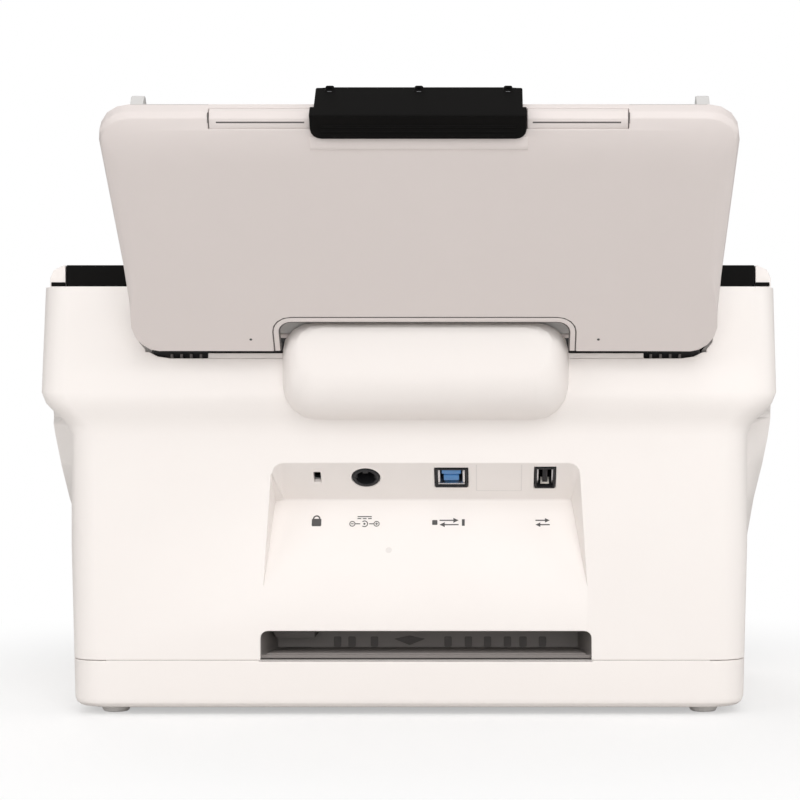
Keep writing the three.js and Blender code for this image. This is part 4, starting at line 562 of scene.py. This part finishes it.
def clear_finish(name, tint):
    """Clear glass or acrylic that lets light through."""
    finish = bpy.data.materials.new(name)
    finish.use_nodes = True
    shader = finish.node_tree.nodes["Principled BSDF"]
    shader.inputs["Base Color"].default_value = (*tint, 1)
    shader.inputs["Roughness"].default_value = 0.03
    shader.inputs["Transmission Weight"].default_value = 0.9
    shader.inputs["IOR"].default_value = 1.5
    return finish


# The path leans 47 degrees from level. path_face has X across and Y up the path, and
# path_side has X up the path and Y out of it.
paper_up = (0, 0.681998, 0.731354)
paper_out = (0, -0.731354, 0.681998)
path_origin = (PATH_X, 84.094, 158.1)
path_face = turned_frame(path_origin, (1, 0, 0), paper_up)
path_side = turned_frame(path_origin, paper_up, paper_out)
inner_black = moulded_finish(
    "inner_black", (0.02, 0.02, 0.022), (0.028, 0.028, 0.03), 0.5, 1500, 0.00003, 0, 0.4)
clear_glass = clear_finish("clear_glass", (0.93, 0.97, 0.97))
soft_edged("lower_guide", "base", inner_black, 0.0002)
soft_edged("lower_sensor_bar", "base", dark_grey, 0.0003)
dress("lower_sensor_glass", clear_glass)
rib_places = [-96, -80, -64, -48, -14, 14, 48, 64, 80, 96]
for name, middle, long in (("lower_guide_ribs", -45, 66), ("lower_guide_exit_ribs", -138, 60)):
    prisms(name, [
        (box_outline(place, middle, 1.2, long, 0.5), -0.05, 0.3) for place in rib_places],
        path_face, inner_black, "base", 0.1)

# Rollers: ground steel shafts with grooved rubber tyres, and their acetal gears.
# Each shaft ends in a clip outside its gear, and each gear has a raised hub.
tyre_rubber = moulded_finish(
    "tyre_rubber", (0.03, 0.03, 0.032), (0.05, 0.05, 0.052), 0.8, 700, 0.00006, 0, 0.3)
shaft_steel = moulded_finish(
    "shaft_steel", (0.66, 0.67, 0.69), (0.6, 0.61, 0.63), 0.2, 260, 0.000004, 1)
gear_plastic = moulded_finish("gear_plastic", (0.76, 0.72, 0.6), (0.7, 0.66, 0.55), 0.42)
TYRE_CHAMFER, GROOVE_DEEP, GROOVE_WIDE = 0.5, 0.35, 0.5
LEFT_TYRE_X, RIGHT_TYRE_X, TYRE_HALF = -37.3, 22.7, 7


def grooved(radius, bore, half, grooves):
    """Profile of a tyre from end to end, and back through its bore if it has one."""
    points = [(bore, -half), (radius - TYRE_CHAMFER, -half), (radius, -half + TYRE_CHAMFER)]
    for k in range(grooves):
        middle = half * (2 * (k + 1) / (grooves + 1) - 1)
        points += [
            (radius, middle - GROOVE_WIDE), (radius - GROOVE_DEEP, middle - GROOVE_WIDE / 2),
            (radius - GROOVE_DEEP, middle + GROOVE_WIDE / 2), (radius, middle + GROOVE_WIDE)]
    points += [(radius, half - TYRE_CHAMFER), (radius - TYRE_CHAMFER, half)]
    return points + ([(bore, half), (bore, -half)] if bore else [(0, half)])


def cross_frame(across, along, height):
    """Frame whose Z is the scanner's X, at a shaft's place."""
    return turned_frame((across, along, height), (0, 1, 0), (0, 0, 1))


shaft_lines = {"feed": (67.854, 126.755), "transport": (41.256, 98.232), "exit": (0.336, 54.351)}
for name, (along, height) in shaft_lines.items():
    body = name + "_roller"
    dress(name + "_shaft", shaft_steel)
    for side, across in (("left", LEFT_TYRE_X), ("right", RIGHT_TYRE_X)):
        tyre = turned(f"{name}_{side}_rubber", grooved(10, 3.3, TYRE_HALF, 4),
                      cross_frame(across, along, height), tyre_rubber, body, 48)
        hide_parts(f"{name}_tyre_{side}")
    soft_edged(name + "_gear", body, gear_plastic, 0.00012)
    turned(name + "_hub", [(3.4, 0), (5.4, 0), (5.4, 0.3), (5.1, 0.5), (3.4, 0.5), (3.4, 0)],
           cross_frame(117.5, along, height), gear_plastic, body)
    turned(name + "_clip", [(3.02, 0), (4.6, 0), (4.6, 0.3), (3.02, 0.3), (3.02, 0)],
           cross_frame(118.05, along, height), frame_steel, body, 24)
for name in ("upper_idler", "lower_idler"):
    soft_edged(name + "_gear", name, gear_plastic, 0.00012)

wheel_lines = {
    "separation_roller": ("separation_wheel", 53.008, 140.6),
    "upper_pinch_roller": ("upper_pinch", 29.335, 109.349),
    "lower_pinch_roller": ("lower_pinch", -11.585, 65.468)}
for node, (body, along, height) in wheel_lines.items():
    shape = bmesh.new()
    rod = [(0, -48), (2.2, -48), (2.5, -47.7), (2.5, 47.7), (2.2, 48), (0, 48)]
    add_turned(shape, rod, cross_frame(PATH_X, along, height), 24)
    wheels = [(PATH_X, grooved(10, 0, 20, 9))] if body == "separation_wheel" else [
        (across, grooved(6, 0, TYRE_HALF, 3)) for across in (LEFT_TYRE_X, RIGHT_TYRE_X)]
    for across, profile in wheels:
        add_turned(shape, profile, cross_frame(across, along, height), 40)
    bmesh.ops.recalc_face_normals(shape, faces=shape.faces)
    roller = finished(node + "_rubber", shape, tyre_rubber, body)
    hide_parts(node)

# Side frames and drive motor: zinc-plated plates, and a drawn can with its end cap and tags.
# The frames carry the shafts, the idlers' pins and the cover's hinge.
for node in ("frame_left", "frame_right"):
    soft_edged(node, "base", frame_steel, 0.00015)
motor_metal = moulded_finish(
    "motor_metal", (0.42, 0.43, 0.45), (0.36, 0.37, 0.39), 0.36, 400, 0.00001, 1)
motor_place = cross_frame(108.4, 41.64, 56.855)
can = turned("motor_can", [
    (0, -28.9), (4.4, -28.9), (4.6, -30), (6.6, -30), (7, -28.7), (16.6, -28.7), (17.6, -28.3),
    (18, -27.3), (18, -5), (17.7, -4.7), (17.7, -4.1), (18, -3.8), (18, 0), (2.9, 0),
    (2.9, -5.9), (0, -5.9)], motor_place, motor_metal, "base", 56)
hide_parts("drive_motor")
prisms("motor_tags", [
    (box_outline(11, 0, 0.6, 3.2), -30, -28.6), (box_outline(-11, 0, 0.6, 3.2), -30, -28.6)],
    motor_place, port_metal, "base")
dress("motor_pinion", shaft_steel)

# Feeder cover: black shell with its paper guide and sensor underneath.
# It swings forward on pins in the side frames, and a black strip of painted shadow lies under each
# end cap.
cover_black = moulded_finish(
    "cover_black", (0.004, 0.0038, 0.0036), (0.006, 0.0056, 0.0054), 0.6, 1500, 0.00001, 0, 0.06)
soft_edged("cover_shell", "adf_cover", cover_black, 0.0005, above=0.062)
soft_edged("cover_guide", "adf_cover", inner_black, 0.0002)
soft_edged("upper_sensor_bar", "adf_cover", dark_grey, 0.0002)

# Black strips just behind the foot of each end cap: painted shadow in the gap below the cap.
CAP_SHADOW_X = 149.7
for side, across in (("left", -CAP_SHADOW_X), ("right", CAP_SHADOW_X)):
    prisms(f"cap_shadow_{side}", [(box_outline(across, 180, 6, 1.7, 0.3), 58.4, 59)],
           from_behind, cover_black, "adf_cover")

# Operator panel: grey bezel, a small display behind its window, and three dished buttons.
# The signs are plain: a triangle, a square and three bars.
BUTTON_X, KEY_Y = 124, -85.406
panel_face = turned_frame((BUTTON_X, -84.006, 0), (1, 0, 0), (0, 0, 1))
key_face = turned_frame((BUTTON_X, KEY_Y, 0), (1, 0, 0), (0, 0, 1))
screen_dark = moulded_finish("screen_dark", (0.01, 0.02, 0.035), (0.012, 0.024, 0.04), 0.3)
screen_light = moulded_finish("screen_light", (0.45, 0.75, 0.85), (0.4, 0.7, 0.8), 0.4)
button_grey = moulded_finish("button_grey", (0.6, 0.61, 0.63), (0.55, 0.56, 0.58), 0.42)
soft_edged("panel_bezel", "adf_cover", dark_grey, 0.0003)
dress("display_window", clear_glass)
prisms("display_screen", [(box_outline(0, 104.5, 10.6, 14.6, 0.8), -1.45, -1.3)],
       panel_face, screen_dark, "adf_cover")
marks("display_bars", [
    box_outline(-0.8, 109 - 2.3 * k, 7.4 - 1.6 * (k % 2), 0.8) for k in range(4)],
    panel_face, screen_light, "adf_cover", -1.3, -1.24)
dished = [(0, -3.4), (4.6, -3.4), (4.6, -0.55), (4.45, -0.2), (4.1, 0), (3.6, -0.04),
          (2.4, -0.28), (1.2, -0.38), (0, -0.4)]
button_signs = {
    "start": (70.4, [[(-1.1, 69), (1.5, 70.4), (-1.1, 71.8)]]),
    "stop": (81.4, [box_outline(0, 81.4, 2.3, 2.3, 0.2)]),
    "menu": (91, [box_outline(0, 89.9 + 1.1 * k, 2.8, 0.5) for k in range(3)])}
for name, (height, outlines) in button_signs.items():
    button_place = turned_frame((BUTTON_X, KEY_Y, height), (1, 0, 0), (0, 0, 1))
    button = turned(f"{name}_key", dished, button_place, button_grey,
                    name + "_button", 40)
    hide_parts("button_" + name)
    marks(f"{name}_sign", outlines, key_face, mark_ink, name + "_button",
          -0.45, -0.26)

# Input tray: a dished white shell, its bed, and lips that close it round the bump and hinge.
# Its white is a little darker than the housing's, as in the photograph: painted shade for the
# shade on its down-facing outer face.
tray_white = moulded_finish("tray_white", (0.775, 0.71, 0.687), (0.76, 0.695, 0.672), 0.45)
bed_grey = moulded_finish("bed_grey", (0.66, 0.65, 0.64), (0.62, 0.61, 0.6), 0.5)
to_path = path_face.inverted()
TRAY_HALF, TRAY_HIGH, TRAY_TAPER, TRAY_DEEP = 120.3, 113.4, 2.6, 11
EDGE_DEEP, EDGE_WIDE, EDGE_HIGH = 6, 12, 20
CORNER_V, CORNER_PULL, FADE_LOW, FADE_HIGH = 13.5, 0.8, 13, 46
CUT_HEIGHTS, DRAWN_SIDE, DRAWN_TOP, DISH_RIM = (20, 28, 37, 48), 78, 60, -5.01


def tray_inset(w, wide):
    """How far the dish's rounded edge lies inside the tray's outline at a depth."""
    turn = math.acos(min(max(1 - (w + TRAY_DEEP) / EDGE_DEEP, 0), 1))
    return wide * (1 - math.sin(turn))


def square_low_corners(shape):
    """Draws the dish's two low corners out to the tray's own width, less so further up."""
    for v in CUT_HEIGHTS:
        cut_at = path_face @ Vector((0, v, 0)) * 0.001
        bmesh.ops.bisect_plane(
            shape, geom=shape.verts[:] + shape.edges[:] + shape.faces[:], dist=0.000001,
            plane_co=cut_at, plane_no=Vector(paper_up))
    for vert in shape.verts:
        u, v, w = to_path @ (vert.co * 1000)
        if not (-0.3 < v < DRAWN_TOP and w < DISH_RIM and abs(u) > DRAWN_SIDE):
            continue
        inset = tray_inset(w, EDGE_WIDE)
        edge = (TRAY_HALF - inset) * (1 - TRAY_TAPER / TRAY_HALF * (1 - v / TRAY_HIGH))
        fade = min(max((v - FADE_LOW) / FADE_HIGH, 0), 1)
        drawn = inset * (1 - fade * fade * (3 - 2 * fade))
        far = abs(u) + drawn
        if v < CORNER_V:
            far = edge + drawn - CORNER_PULL * (edge - abs(u))
        vert.co = path_face @ Vector((math.copysign(far, u), v, w)) * 0.001


soft_edged("tray_shell", "input_tray", tray_white, 0.0004,
           reshape=square_low_corners)


def notch_line(inset):
    """The notch's outline around the bump, drawn in by an inset."""
    half, top, corner = 61.5 - inset, 18.3 - inset, 8 - inset
    right = [(half - corner + corner * math.sin(a), top - corner + corner * math.cos(a))
             for a in (math.radians(15 * i) for i in range(7))]
    return [(-u, v) for u, v in [(half, 0.3)] + right[::-1]] + right + [(half, 0.3)]


# The dark groove and the dark strip either side of the white lip are painted shade: the shadow in
# the gap at the notch's edge, and the shadow the lip casts on the bump.
for name, start, end, low, high, finish, slot, edge in (
        ("notch_groove_shade", 0, 0.5, -10.75, -10.2, dark_grey, "dark_grey", 0),
        ("notch_lip", 0.5, 2.5, -10.95, -9.6, tray_white, "tray_white", 0.12),
        ("notch_shadow_line", 2.5, 3.1, -10.6, -10, dark_grey, "dark_grey", 0)):
    prisms(name, [(notch_line(start) + notch_line(end)[::-1], low, high)], path_face, finish,
           "input_tray", edge)
soft_edged("tray_bed", "input_tray", bed_grey, 0.0004)
prisms("scoop_lip", [([
    (100.2, -10.3), (100.2, -10.9), (100.8, -11.15), (102, -11), (105.5, -9.95), (105.5, -9.3)],
    -40.5, 40.5)], path_side, tray_white, "input_tray", 0.15)
# Two small dark dots: painted shade for shallow dimples by the notch's lower corners.
marks("tray_dimple_shade", [box_outline(x, 6.5, 1.1, 1.1, 0.5) for x in (-70.5, 70.5)],
      path_face, mark_ink, "input_tray", -11.06, -10.98)
prisms("bed_ribs", [
    (box_outline(place, 66, 1, 62, 0.4), -0.05, 0.14) for place in (-60, -36, -12, 12, 36, 60)],
    path_face, bed_grey, "input_tray")
marks("bed_size_lines", [
    box_outline(side * place, 30, 0.5, long) for side in (-1, 1)
    for place, long in ((52.5, 7), (74, 10), (91, 7), (102, 10))],
    path_face, mark_ink, "input_tray", -0.05, 0.05)
# Ribs seen through the gap under the tray's low edge: real ribs, painted dark grey for the shade
# in the gap.
prisms("hinge_gap_rib_shade", [
    (box_outline(side * place, 148.9, 1, 1.8), 80.8, 82) for side in (-1, 1)
    for place in (93, 97, 101, 105)],
    turned_frame((PATH_X, 0, 0), (-1, 0, 0), (0, 0, 1)), dark_grey, "base")

# Paper guides with their racks and pinion, and the tray's sliding extension.
# The handle is black with fine grip ridges, and two white panels close the tray's edge.
for side in ("left", "right"):
    soft_edged(f"guide_{side}", f"{side}_guide", bed_grey, 0.0003)
soft_edged("guide_pinion", "rack_pinion", gear_plastic, 0.00012)
soft_edged("extension_plate", "input_extension", cover_black, 0.0006, segments=3)
soft_edged("extension_cap", "input_extension", tray_white, 0.0003)
prisms("handle_ridges", [([
    (start, -12.1), (start + 0.3, -12.45), (start + 0.9, -12.45), (start + 1.2, -12.1)],
    -36, 36) for start in (107.2, 109.2, 111.2)],
    path_side, cover_black, "input_extension", 0.1)


def top_edge(v):
    """Depth of the tray's outer face near its top edge."""
    turn = math.asin(1 - (TRAY_HIGH - v) / EDGE_HIGH)
    return -TRAY_DEEP + EDGE_DEEP * (1 - math.cos(turn))


# Dark grey strips in the gaps round the white end panels are painted shade for the shadow in those
# gaps; the grey lines along the tray's rim are painted shade too.
rise = [110.4, 111.2, 112, 112.7, 113.2]
rise_line = [(v, top_edge(v) - 0.05) for v in rise] + [(v, top_edge(v) + 0.5) for v in rise[::-1]]
panel_shade_line = [(110.3, -8.06), (110.8, -7.84), (110.8, -7.4), (110.3, -7.6)]
rim_shade_line = [(113.2, -0.75), (113.46, -0.75), (113.46, -0.35), (113.2, -0.35)]
for side, gap_start, line_start, rim_start in (
        ("left", -78.25, -75, -107.3), ("right", 77.75, 42.3, 78.3)):
    prisms(f"panel_gap_shade_{side}", [(rise_line, gap_start, gap_start + 0.5)],
           path_side, dark_grey, "input_tray")
    prisms(f"panel_shade_line_{side}", [(panel_shade_line, line_start, line_start + 32.7)],
           path_side, dark_grey, "input_extension")
    prisms(f"rim_shade_line_{side}", [(rim_shade_line, rim_start, rim_start + 29)],
           path_side, seam_shade, "input_tray")
# Grey caps on the three pegs' tips: painted highlight for the glint each peg shows.
peg_glint_grey = moulded_finish("peg_glint_grey", (0.16, 0.16, 0.17), (0.2, 0.2, 0.21), 0.3)
prisms("peg_glints", [
    (box_outline(place, 115.9, 2.2, 2, 0.5), 2.9, 3.3) for place in (-33.2, 0, 33.2)],
    path_face, peg_glint_grey, "input_extension", 0.1)

# Output tray: ribbed black slab with its grey extension and end stop.
# It hangs on a barrel hinge at the front and folds up against the cover.
out_face = turned_frame((PATH_X, -80.606, 17), (1, 0, 0), (0, 1, 0))
soft_edged("output_tray", "output_tray", cover_black, 0.0005)
soft_edged("output_extension", "output_extension", dark_grey, 0.0003)
soft_edged("output_stop", "output_stop", dark_grey, 0.0002)
prisms("output_ribs", [
    (box_outline(-98 + 28 * k, -36, 1.6, 58, 0.7), 3.95, 4.35) for k in range(8)],
    out_face, cover_black, "output_tray", 0.15)

# Underside: screw heads, vent slots drawn as black plates of painted shade, and a blank plate, all
# above the feet's soles.
# The photograph doesn't show it, so all of it is guessed.
under_face = turned_frame((0, 0, 0), (1, 0, 0), (0, -1, 0))
vent_hole_shade = moulded_finish("vent_hole_shade", (0.01, 0.01, 0.01), (0.014, 0.014, 0.014), 0.7)
screw_places = [(-108, -48), (108, -48), (-108, 60), (108, 60), (0, 60)]
for number, (across, along) in enumerate(screw_places):
    turned(f"base_screw_{number}", [
        (0, 0.9), (0.9, 0.9), (1.1, 0.35), (2.4, 0.25), (3, 0.5), (3.1, 1.2), (0, 1.2)],
        Matrix.Translation((across, along, 1.9)), frame_steel, "base", 24)
# Black plates: painted shade for the vent slots.
prisms("base_vent_shade", [
    (box_outline(-54 + 9 * k, 8, 3, 42, 1.4), -3.05, -2.9) for k in range(13)],
    under_face, vent_hole_shade, "base")
prisms("base_plate_blank", [(box_outline(0, -38, 72, 26, 2), -3.05, -2.75)],
       under_face, button_grey, "base", 0.1)
